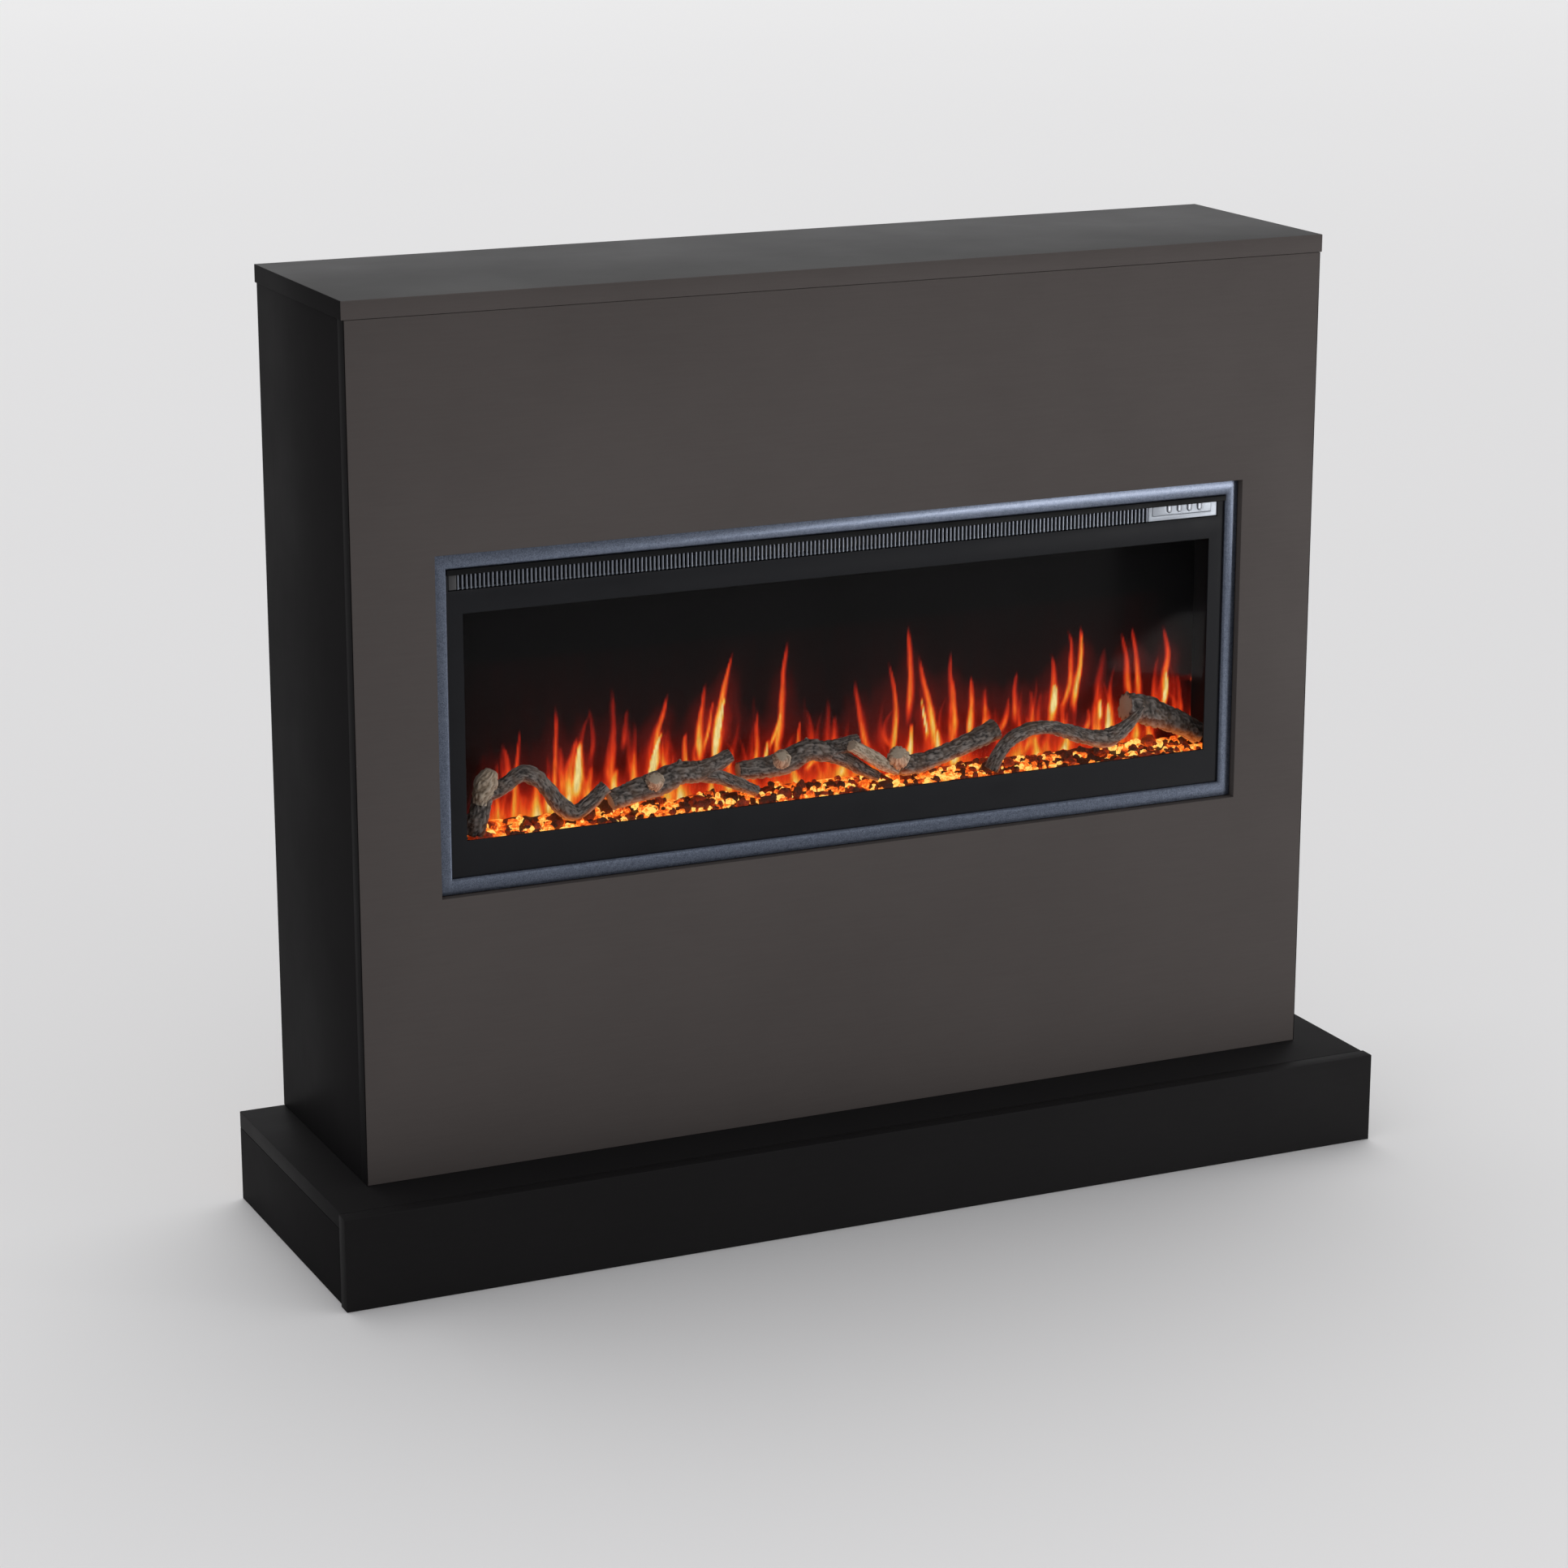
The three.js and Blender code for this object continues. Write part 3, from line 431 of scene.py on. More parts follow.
def laminate(name, colour, along, sheen):
    look = laminateLook
    stretch = tuple(look["fibreScale"][axis != along] for axis in "xyz")
    layers = {**look["layers"], "fibre": {**look["layers"]["fibre"], "stretch": stretch}}
    colours = [shade(colour, share) for share in look["contrast"]]
    return speckled(name, {**look, "layers": layers}, colours, look["roughness"], SpecularIORLevel=sheen)


# metallic flake: small cells, each with its own brightness, under a thin clear coat
flakeLook = {
    "layers": {"flakes": {"flakes": 1150.0}, "fine": {"noise": 2600.0}, "blotch": {"noise": 240.0}},
    "tone": {"flakes": 0.55, "fine": 0.5, "blotch": 0.35},
    "toneRange": (0.35, 1.0),
    "colours": [(0.034, 0.042, 0.064), (0.116, 0.136, 0.180)],
    "gloss": {"flakes": 1},
    "glossRange": (0.0, 1.0),
    "roughness": (0.27, 0.42),
    "relief": {"flakes": 1, "fine": 1},
    "depth": 0.00005,
    "strength": 0.4,
    "set": {"Metallic": 0.82, "CoatWeight": 0.12, "CoatRoughness": 0.2},
}

# satin enamel over sheet: orange peel, and a trace of dust in its roughness
enamelLook = {
    "layers": {"peel": {"noise": 420.0}, "dust": {"noise": 14.0, "detail": 4.0, "coarse": 0.65},
               "fine": {"noise": 2200.0}},
    "tone": {"dust": 0.8, "fine": 0.4},
    "toneRange": (0.4, 0.9),
    "contrast": (0.85, 1.25),
    "gloss": {"dust": 1},
    "glossRange": (0.3, 0.7),
    "roughness": (-0.06, 0.1),  # below and above the finish's own
    "relief": {"peel": 1, "fine": 0.3},
    "depth": 0.00008,
    "strength": 0.25,
    "set": {"SpecularIORLevel": 0.12},
}

# silver paint on plastic: very fine flakes, a soft gloss that varies
silverLook = {
    "layers": {"flakes": {"flakes": 3600.0}, "cloud": {"noise": 60.0, "detail": 3.0}},
    "tone": {"flakes": 0.6, "cloud": 0.6},
    "toneRange": (0.3, 0.9),
    "contrast": (0.84, 1.08),
    "gloss": {"cloud": 1},
    "glossRange": (0.3, 0.7),
    "roughness": (-0.05, 0.08),
    "relief": {"flakes": 1},
    "depth": 0.00003,
    "strength": 0.3,
    "set": {},
}

# spark-eroded plastic: a pebbled relief with slightly varied gloss
plasticLook = {
    "layers": {"pebble": {"pebbles": 1700.0}, "cloud": {"noise": 40.0, "detail": 3.0}},
    "tone": {"cloud": 1},
    "toneRange": (0.3, 0.7),
    "contrast": (0.85, 1.2),
    "gloss": {"cloud": 1},
    "glossRange": (0.3, 0.7),
    "roughness": (-0.05, 0.07),
    "relief": {"pebble": 1},
    "depth": 0.00008,
    "strength": 0.4,
    "set": {},
}

# zinc plating: crystal patches with their own brightness, and fine rolling lines
zincLook = {
    "layers": {"spangle": {"flakes": 130.0}, "lines": {"noise": 1.0, "stretch": (60.0, 900.0, 900.0)}},
    "tone": {"spangle": 0.7, "lines": 0.5},
    "toneRange": (0.2, 1.0),
    "colours": [(0.36, 0.38, 0.40), (0.66, 0.68, 0.70)],
    "gloss": {"spangle": 1},
    "glossRange": (0.0, 1.0),
    "roughness": (0.32, 0.52),
    "relief": {"lines": 1},
    "depth": 0.00005,
    "strength": 0.3,
    "set": {"Metallic": 0.95},
}

# mica sheet: pale flakes, evenly rough
micaLook = {
    "layers": {"flake": {"flakes": 420.0}, "fine": {"noise": 1200.0, "detail": 3.0}},
    "tone": {"flake": 0.6, "fine": 0.5},
    "toneRange": (0.2, 0.9),
    "colours": [(0.34, 0.28, 0.18), (0.62, 0.54, 0.40)],
    "relief": {"flake": 1, "fine": 1},
    "depth": 0.0001,
    "strength": 0.4,
    "set": {"Roughness": 0.6},
}


def plain(name, look):
    return speckled(name, look, look["colours"], look.get("roughness"), **look["set"])


def tinted(name, look, colour, roughness, **fixed):
    # a finish in its own colour and roughness, with the look's contrast about them
    colours = [shade(colour, share) for share in look["contrast"]]
    ends = [roughness + change for change in look["roughness"]]
    return speckled(name, look, colours, ends, **look["set"], **fixed)


# pressed wood chips: stretched cells in several tans, with dark gaps between them
chipLook = {
    "stretch": (210.0, 460.0, 290.0),
    "turn": (0.3, 0.2, 0.5),
    "fineScale": 900.0,
    "tans": [(0.15, (0.27, 0.18, 0.10)), (0.45, (0.37, 0.26, 0.16)), (0.8, (0.45, 0.335, 0.215))],
    "gapWidth": 0.07,
    "gapColour": (0.17, 0.108, 0.06),
    "gapShare": 0.5,
    "roughness": 0.85,
    "depth": 0.0003,
    "strength": 0.5,
}


def chipBoard(name, look):
    s = Shader(name)
    wide = s.stretched(look["stretch"], look["turn"])
    tone = s.ramp(s.cells(1.0, wide, output="Color"), look["tans"])
    gap = s.spread(s.cells(1.0, wide, feature="DISTANCE_TO_EDGE"), 0.0, look["gapWidth"])
    fine = s.noise(look["fineScale"], 3.0)
    base = s.mix(gap * look["gapShare"] + fine * (1 - look["gapShare"]), look["gapColour"], tone)
    normal = s.bump(gap + fine * 0.5, look["depth"], look["strength"])
    return s.finish(BaseColor=base, Roughness=look["roughness"], Normal=normal)


# lightly smoked glass: mostly clear, with a faint film that is stronger in patches
glassLook = {
    "filmScale": 9.0,
    "alpha": (0.3, 0.8, 0.05, 0.09),  # film from, film to, alpha from, alpha to
    "roughness": (0.3, 0.7, 0.03, 0.09),
    "colours": [(0.006, 0.006, 0.0065), (0.012, 0.012, 0.013)],
    "specular": 0.04,
}


def windowGlass(name, look):
    s = Shader(name)
    film = s.noise(look["filmScale"], 4.0, 0.6)
    return s.finish(BaseColor=s.mix(film, *look["colours"]), Roughness=s.spread(film, *look["roughness"]),
                    Alpha=s.spread(film, *look["alpha"]), SpecularIORLevel=look["specular"])


# green lacquer over copper tracks that run in square steps
circuitLook = {
    "tracks": (260.0, 260.0, 260.0),
    "trackEdge": (0.45, 0.55),
    "fineScale": 1500.0,
    "colours": [(0.008, 0.07, 0.03), (0.03, 0.16, 0.06)],
    "roughness": 0.35,
    "depth": 0.00005,
    "strength": 0.5,
}


def circuitLacquer(name, look):
    s = Shader(name)
    line = s.spread(s.cells(1.0, s.stretched(look["tracks"]), output="Color"), *look["trackEdge"])
    base = s.mix(line * 0.6 + s.noise(look["fineScale"]) * 0.2, *look["colours"])
    normal = s.bump(line, look["depth"], look["strength"])
    return s.finish(BaseColor=base, Roughness=look["roughness"], Normal=normal)


# resistance ribbon: blue and straw oxide bands along its length
ribbonLook = {
    "bandScale": 90.0,
    "oxides": [(0.3, (0.10, 0.09, 0.13)), (0.5, (0.30, 0.20, 0.11)), (0.7, (0.42, 0.36, 0.30))],
    "roughness": (0.3, 0.7, 0.35, 0.55),
    "metallic": 0.8,
}


def heatRibbon(name, look):
    s = Shader(name)
    band = s.noise(look["bandScale"], 2.0)
    return s.finish(BaseColor=s.ramp(band, look["oxides"]), Metallic=look["metallic"],
                    Roughness=s.spread(band, *look["roughness"]))


# smoked screen: painted light, the flame picture on its points as glow, broken up by fine rising wisps
flameLook = {
    "wisp": (330.0, 40.0, 75.0),
    "wispRange": (0.32, 0.62),
    "dim": (0.72, 0.66, 0.6),
    "hazeScale": 12.0,
    "colours": [(0.0045, 0.0042, 0.0042), (0.0075, 0.0072, 0.0072)],
    "roughness": 0.6,
    "specular": 0.05,
}


def flameGlow(name, look):
    s = Shader(name)
    wisp = s.noise(1.0, 3.0, 0.55, s.stretched(look["wisp"]))
    dim = s.mix(s.spread(wisp, *look["wispRange"]), look["dim"], (1.0, 1.0, 1.0))
    glow = s.mix(1.0, s.attribute("firePaint", "Color"), dim, "MULTIPLY")
    return s.finish(BaseColor=s.mix(s.noise(look["hazeScale"], 3.0), *look["colours"]), EmissionColor=glow,
                    Roughness=look["roughness"], SpecularIORLevel=look["specular"], EmissionStrength=1.0)


# translucent resin lit from below: a painted glow, its level on the points, clouded by noise, through dull
# red to yellow
emberLook = {
    "cloudScale": 170.0,
    "fineScale": 620.0,
    "mix": {"cloud": 0.6, "fine": 0.55},
    "heatRange": (0.3, 0.85, 0.45, 1.25),
    "glow": [(0.0, (0.0, 0.0, 0.0)), (0.20, (0.010, 0.0012, 0.0004)), (0.40, (0.16, 0.010, 0.0015)),
             (0.60, (0.72, 0.078, 0.006)), (0.80, (1.0, 0.25, 0.022)), (1.0, (1.0, 0.62, 0.14))],
    "colours": [(0.014, 0.009, 0.007), (0.13, 0.066, 0.040)],
    "roughness": 0.75,
    "strength": 1.35,
    "depth": 0.0008,
    "relief": 0.6,
}


def emberGlow(name, look):
    s = Shader(name)
    layers = {"cloud": s.noise(look["cloudScale"], 3.0, 0.6), "fine": s.noise(look["fineScale"], 3.0, 0.6)}
    level = s.attribute("warmth") * s.spread(weighted(layers, look["mix"]), *look["heatRange"])
    base = s.mix(layers["fine"], *look["colours"])
    normal = s.bump(layers["fine"] + layers["cloud"], look["depth"], look["relief"])
    return s.finish(BaseColor=base, Roughness=look["roughness"], Normal=normal,
                    EmissionColor=s.ramp(level, look["glow"]), EmissionStrength=look["strength"])


# painted bark: darker in the cracks, partly the bark's own colour and partly painted shade; grey on the
# ridges, warm in patches; cut faces are pale, and the undersides carry a painted glow of the ember bed's
# light
barkLook = {
    "fineScale": 900.0,
    "patchScale": 70.0,
    "mix": {"ridge": 0.72, "fine": 0.36, "patch": 0.2},
    "greys": [(0.26, (0.009, 0.0075, 0.0065)), (0.48, (0.07, 0.058, 0.051)),
              (0.76, (0.165, 0.142, 0.128)), (1.0, (0.27, 0.238, 0.215))],
    "warm": (0.14, 0.075, 0.038),
    "warmRange": (0.45, 0.7, 0.0, 0.5),
    "pales": [(0.2, (0.10, 0.062, 0.035)), (0.5, (0.36, 0.27, 0.185)), (0.85, (0.56, 0.46, 0.35))],
    "bedGlowColours": [(0.35, 0.03, 0.004), (0.95, 0.24, 0.04)],
    "bedGlowRange": (0.25, 0.8),
    "strength": 0.8,
    "roughness": 0.85,
    "depth": 0.0006,
    "relief": 0.7,
}


def barkPaint(name, look):
    s = Shader(name)
    layers = {"ridge": s.attribute("ridge"), "fine": s.noise(look["fineScale"], 4.0, 0.65),
              "patch": s.noise(look["patchScale"], 3.0, 0.6)}
    level = weighted(layers, look["mix"])
    # the greys are darkest in the cracks: partly the bark's own colour, partly painted shade
    warm = s.mix(s.spread(layers["patch"], *look["warmRange"]), s.ramp(level, look["greys"]), look["warm"])
    base = s.mix(s.attribute("cut"), warm, s.ramp(level, look["pales"]))
    # painted glow of the ember bed's light, stronger on the ridges
    lit = s.mix(s.spread(level, *look["bedGlowRange"]), *look["bedGlowColours"])
    glow = s.mix(s.attribute("glow"), (0.0, 0.0, 0.0), (1.0, 1.0, 1.0))
    normal = s.bump(layers["fine"] * 0.7 + layers["ridge"], look["depth"], look["relief"])
    return s.finish(BaseColor=base, Roughness=look["roughness"], Normal=normal,
                    EmissionColor=s.mix(1.0, lit, glow, "MULTIPLY"), EmissionStrength=look["strength"])


# paper sweep: faint clouds, and paler with distance, a painted brightening in place of more light far off
floorLook = {
    "cloudScale": 0.6,
    "distance": (2.0, 15.0),  # metres
    "colours": [(0.795, 0.792, 0.796), (0.93, 0.93, 0.93)],
    "roughness": 0.9,
    "specular": 0.1,
}


def floorPaint(name, look):
    s = Shader(name)
    depth = s.value("SeparateXYZ", {}, {0: s.place}, "Y")
    base = s.mix(s.spread(depth + s.noise(look["cloudScale"], 3.0), *look["distance"]), *look["colours"])
    return s.finish(BaseColor=base, Roughness=look["roughness"], SpecularIORLevel=look["specular"])


looks = {
    "graphiteTop": laminate("graphite_top", laminateLook["graphite"], "x", laminateLook["satin"]),
    "graphiteAcross": laminate("graphite_across", laminateLook["graphite"], "x", laminateLook["dull"]),
    "graphiteUp": laminate("graphite_up", laminateLook["graphite"], "z", laminateLook["flat"]),
    "taupe": laminate("taupe_front", laminateLook["taupe"], "x", laminateLook["dull"]),
    "chipBoard": chipBoard("chip_board", chipLook),
    "trim": plain("trim_paint", flakeLook),
    "bezel": tinted("bezel_enamel", enamelLook, (0.0058, 0.0062, 0.0080), 0.42),
    "hood": tinted("hood_enamel", enamelLook, (0.0026, 0.0027, 0.0032), 0.55),
    "casing": tinted("casing_enamel", enamelLook, (0.012, 0.012, 0.013), 0.5),
    "glass": windowGlass("window_glass_tint", glassLook),
    "silver": tinted("panel_silver", silverLook, (0.31, 0.335, 0.375), 0.42, Metallic=0.5),
    # the fins' silver is a darker copy of the panel's silver: painted shade of the recess under the hood and
    # of the gaps between fins
    "fins": tinted("fin_silver_shaded", silverLook, (0.105, 0.115, 0.136), 0.3, Metallic=0.6),
    "keys": tinted("key_silver", silverLook, (0.34, 0.36, 0.40), 0.36, Metallic=0.5),
    "zinc": plain("zinc_plate", zincLook),
    "plastic": tinted("black_plastic", plasticLook, (0.018, 0.018, 0.02), 0.55),
    "circuit": circuitLacquer("circuit_lacquer", circuitLook),
    "mica": plain("mica_sheet", micaLook),
    "ribbon": heatRibbon("heat_ribbon", ribbonLook),
    "flame": flameGlow("flame_glow", flameLook),
    "ember": emberGlow("ember_glow", emberLook),
    "bark": barkPaint("bark_paint", barkLook),
}
print("finishes made")

# ---- boards of the mantel and plinth

boards = {
    "edge": 0.7,  # rounding on laminated edges
    "tape": 0.8,  # graphite edge tape on the front panel's ends
    "tapeSink": 0.3,
    "sheenTopRise": 0.9,  # a face whose normal rises more than this takes the top's painted sheen
    "panelGap": 1.0,  # round the insert's trim
    "graphiteTop": ["top_board"],
    "graphiteAcross": ["plinth_front_board", "plinth_top_board"],
    "graphiteUp": ["left_side_panel", "right_side_panel", "plinth_left_board", "plinth_right_board"],
    "taupe": ["top_edge_band"],
}


def makeBoards(b):
    for look in ("graphiteTop", "graphiteAcross", "graphiteUp", "taupe"):
        for node in b[look]:
            low, high = nodeBox(node)
            edge = min(b["edge"], (high - low).min() * 0.45)
            slot = "taupe_laminate" if look == "taupe" else "graphite_laminate"
            points, faces = roundedBlock(low, high, edge)
            piece = makePiece(node + "_board", points, faces, looks[look], slot, nodes=[node])
            if look == "graphiteTop":  # only the upper face takes the painted sheen; the rest gets the sides' lower sheen, a painted shade
                piece.data.materials.append(looks["graphiteUp"])
                normals = np.zeros(len(piece.data.polygons) * 3)
                piece.data.polygons.foreach_get("normal", normals)
                flat = (normals.reshape(-1, 3)[:, 2] < b["sheenTopRise"]).astype(np.int32)
                piece.data.polygons.foreach_set("material_index", flat)

    # the front panel is a frame round the insert's opening, with rounded inner and outer arrises
    low, high = panelLow.copy(), panelHigh.copy()
    low[0] += b["tape"]
    high[0] -= b["tape"]
    gap = b["panelGap"]
    e, back = b["edge"], high[1]
    profile = [(0, 0, frontY + e), (0, 0.3 * e, frontY + 0.3 * e), (0, e, frontY), (1, -e, frontY),
               (1, -0.3 * e, frontY + 0.3 * e), (1, 0, frontY + e), (1, 0, back), (0, 0, back)]
    inner = [trimLow[[0, 2]] - gap, trimHigh[[0, 2]] + gap]
    points, faces = mitredFrame(inner, [low[[0, 2]], high[[0, 2]]], profile)
    makePiece("front_panel_board", points, faces, looks["taupe"], "taupe_laminate", nodes=["front_panel"])
    sink, clear = b["tapeSink"], 0.02
    for name, x in (("left", (panelLow[0], low[0] - clear)), ("right", (high[0] + clear, panelHigh[0]))):
        ends = (x[0], frontY + sink, panelLow[2]), (x[1], back, panelHigh[2])
        points, faces = roundedBlock(*ends, sink)
        makePiece(name + "_edge_tape", points, faces, looks["graphiteUp"], "graphite_laminate")


makeBoards(boards)
print("boards made")

# ---- trim frame, bezel and glass

front = {
    "trimSide": 14.0,
    "trimRail": 16.0,
    "trimBevel": 2.4,  # the sloped lip round the inside edge
    "trimArris": 0.5,
    "bezelArris": 0.5,
    "glassLap": 10.0,
    "rowGap": 0.6,  # between the bezel and the outlet row
    "fieldLow": 6.0,  # the upper field starts this far below the outlet row
    "hoodEdge": 0.4,
    "glassEdge": 0.8,
}


def windowBox():
    # the window's rectangle, from the glass and how far the bezel laps over it
    low, high = nodeBox("window_glass")
    lap = front["glassLap"]
    return low[[0, 2]] + lap, high[[0, 2]] - lap


def makeFront(f):
    bevel, arris = f["trimBevel"], f["trimArris"]
    border = f["trimSide"], f["trimRail"]
    inner = [trimLow[[0, 2]] + border, trimHigh[[0, 2]] - border]
    outer = [trimLow[[0, 2]], trimHigh[[0, 2]]]
    y, back = trimLow[1], trimHigh[1]
    profile = [(0, 0, back), (0, 0, y + bevel), (0, 0.15 * bevel, y + 0.7 * bevel), (0, bevel, y),
               (1, -arris, y), (1, -0.3 * arris, y + 0.3 * arris), (1, 0, y + arris), (1, 0, back)]
    points, faces = mitredFrame(inner, outer, profile)
    makePiece("trim_frame_moulding", points, faces, looks["trim"], "silver_flake", nodes=["trim_frame"])

    # the bezel: three bars and an upper field with the outlet row cut out of it, made as two frames
    bezelLow, bezelHigh = nodeBox("bezel")
    combLow, combHigh = nodeBox("outlet_grille")
    split, rowGap = combLow[2] - f["fieldLow"], f["rowGap"]
    windowLow, windowHigh = windowBox()
    a, y, back = f["bezelArris"], bezelLow[1], bezelHigh[1]
    section = [(0, 0, back), (0, 0, y + a), (0, 0.3 * a, y + 0.3 * a), (0, a, y), (1, 0, y), (1, 0, back)]
    lower = mitredFrame([windowLow, windowHigh], [bezelLow[[0, 2]], (bezelHigh[0], split)], section)
    endLow, controlHigh = nodeBox("grille_end_block")[0], nodeBox("control_panel")[1]
    row = [(endLow[0] - rowGap, combLow[2] - rowGap), (controlHigh[0] + rowGap, combHigh[2] + rowGap)]
    upper = mitredFrame(row, [(bezelLow[0], split), bezelHigh[[0, 2]]], section)
    points, faces = joinShells(lower, upper)
    makePiece("bezel_plate", points, faces, looks["bezel"], "black_bezel", nodes=["bezel"])
    points, faces = roundedBlock(hoodLow, hoodHigh, f["hoodEdge"])
    makePiece("outlet_hood_strip", points, faces, looks["hood"], "black_bezel", nodes=["outlet_hood"])
    glassLow, glassHigh = nodeBox("window_glass")
    points, faces = roundedBlock(glassLow, glassHigh, f["glassEdge"])
    makePiece("window_pane", points, faces, looks["glass"], "dark_glass", nodes=["window_glass"])


makeFront(front)
print("insert front made")

# ---- outlet grille and control panel

outlet = {
    "finPitch": 4.6,
    "finWidth": 1.9,
    "noseSteps": 8,
    "finCorner": 0.4,
    "finLift": 0.2,
    "foot": 1.2,
    "footInset": 2.2,
    "footEdge": 0.35,
    "capEdge": 0.8,
    "insetLeft": 4.3,  # control plate's inner plate, from its left, right and lower edges
    "insetRight": 7.0,
    "insetLow": 4.8,
    "groove": 0.7,
    "raise": 0.35,
    "plateEdge": 0.5,
    "pocketEdge": 0.8,
    "pocketDepth": 0.9,
    "labelEdge": 0.45,
    "keyGap": 0.55,
    # depth of each ring of a key and how far it draws in: straight sides, a rounded lip, a dished top
    "keyRings": [(0.8, 0.0), (0.35, 0.12), (0.08, 0.38), (0.0, 0.75), (0.12, 1.15), (0.34, 1.7), (0.42, 2.3)],
}


def makeGrille(o):
    # a fin is a plan outline with two round corners at its nose, carried up from the foot bar
    low, high = nodeBox("outlet_grille")
    radius, corner = o["finWidth"] / 2, o["finCorner"]
    turn = np.linspace(np.pi, 2 * np.pi, o["noseSteps"])
    shift = np.sign(np.round(np.cos(turn), 6)) * (radius - corner)
    nose = np.stack([shift + corner * np.cos(turn), low[1] + corner + corner * np.sin(turn)], -1)
    plan = np.concatenate([nose, [[radius, high[1]], [-radius, high[1]]]])
    levels = np.array([low[2] + o["finLift"], high[2]])
    shell = stackLoops([np.column_stack([plan, np.full(len(plan), z)]) for z in levels])
    count = int((high[0] - low[0] - o["finWidth"]) // o["finPitch"]) + 1
    start = (low[0] + high[0]) / 2 - (count - 1) * o["finPitch"] / 2
    places = np.zeros((count, 3))
    places[:, 0] = start + np.arange(count) * o["finPitch"]
    fins = repeatShell(*shell, places)
    footLow, footHigh = (low[0], low[1] + o["footInset"], low[2]), (high[0], high[1], low[2] + o["foot"])
    foot = roundedBlock(footLow, footHigh, o["footEdge"])
    points, faces = joinShells(fins, foot)
    makePiece("outlet_fins", points, faces, looks["fins"], "silver_plastic", nodes=["outlet_grille"])

    blockLow, blockHigh = nodeBox("grille_end_block")
    points, faces = roundedBlock(blockLow, blockHigh, o["capEdge"])
    makePiece("grille_end_cap", points, faces, looks["plastic"], "black_plastic", nodes=["grille_end_block"])


def capsuleLoop(x, low, high, radius, steps=9):
    # an upright outline with round ends, anticlockwise from the right
    turn = np.linspace(0, np.pi, steps)
    top = np.stack([x + radius * np.cos(turn), high - radius + radius * np.sin(turn)], -1)
    bottom = np.stack([x - radius * np.cos(turn), low + radius - radius * np.sin(turn)], -1)
    return np.concatenate([top, bottom])


def upright(flat, y):
    return np.stack([flat[:, 0], np.full(len(flat), y), flat[:, 1]], -1)


def cutAway(piece, cutters):
    # boolean difference, taken into the mesh; the cutters are dropped afterwards
    for cutter in cutters:
        change = piece.modifiers.new("cut", "BOOLEAN")
        change.operation, change.solver, change.object = "DIFFERENCE", "EXACT", cutter
    bpy.context.view_layer.update()
    graph = bpy.context.evaluated_depsgraph_get()
    made = bpy.data.meshes.new_from_object(piece.evaluated_get(graph))
    piece.modifiers.clear()
    piece.data = made
    made.set_sharp_from_angle(angle=math.radians(40))
    for cutter in cutters:
        bpy.data.objects.remove(cutter)


def makeControls(o):
    low, high = nodeBox("control_panel")
    keys = {"button_power": "power_key", "button_flame": "flame_key",
            "button_heat": "heat_key", "button_timer": "timer_key"}
    keyBoxes = {node: nodeBox(node) for node in keys}
    gap = o["keyGap"]

    def keyCutters(tag):
        cutters = []
        for node, (keyLow, keyHigh) in keyBoxes.items():
            x, radius = (keyLow[0] + keyHigh[0]) / 2, (keyHigh[0] - keyLow[0]) / 2 + gap
            flat = capsuleLoop(x, keyLow[2] - gap, keyHigh[2] + gap, radius)
            shell = stackLoops([upright(flat, low[1] - 2), upright(flat, high[1] + 2)])
            cutters.append(makePiece(tag + node, *shell, looks["silver"], seen=False))
        return cutters

    # the outer plate has a shallow pocket; the inner plate lies in it with a dark groove all round
    pocketLow = (low[0] + o["insetLeft"], low[1] - 1, low[2] + o["insetLow"])
    pocketHigh = (high[0] - o["insetRight"], low[1] + o["pocketDepth"], high[2] - 1.0)
    outerPlate = makePiece("control_plate", *roundedBlock(low, high, o["plateEdge"]), looks["silver"],
                           "silver_plastic", nodes=["control_panel"])
    shell = roundedBlock(pocketLow, pocketHigh, o["pocketEdge"])
    pocket = makePiece("pocket_cutter", *shell, looks["silver"], seen=False)
    cutAway(outerPlate, [pocket, *keyCutters("outer_")])
    groove = o["groove"]
    plateLow = (pocketLow[0] + groove, low[1] - o["raise"], pocketLow[2] + groove)
    plateHigh = (pocketHigh[0] - 0.3 * groove, low[1] + o["pocketDepth"] - 0.05, pocketHigh[2] - 0.1)
    innerPlate = makePiece("control_label_plate", *roundedBlock(plateLow, plateHigh, o["labelEdge"]),
                           looks["silver"], "silver_plastic")
    cutAway(innerPlate, keyCutters("inner_"))

    for node, body in keys.items():
        keyLow, keyHigh = keyBoxes[node]
        x, radius = (keyLow[0] + keyHigh[0]) / 2, (keyHigh[0] - keyLow[0]) / 2
        rings = [(keyHigh[1], 0.0)] + [(keyLow[1] + y, d) for y, d in o["keyRings"]]
        loops = [upright(capsuleLoop(x, keyLow[2] + d, keyHigh[2] - d, radius - d), y) for y, d in rings]
        points, faces = stackLoops(loops)
        makePiece(node + "_cap", points, faces, looks["keys"], "button_plastic", body, [node], sharp=60)


makeGrille(outlet)
makeControls(outlet)
print("outlet and controls made")
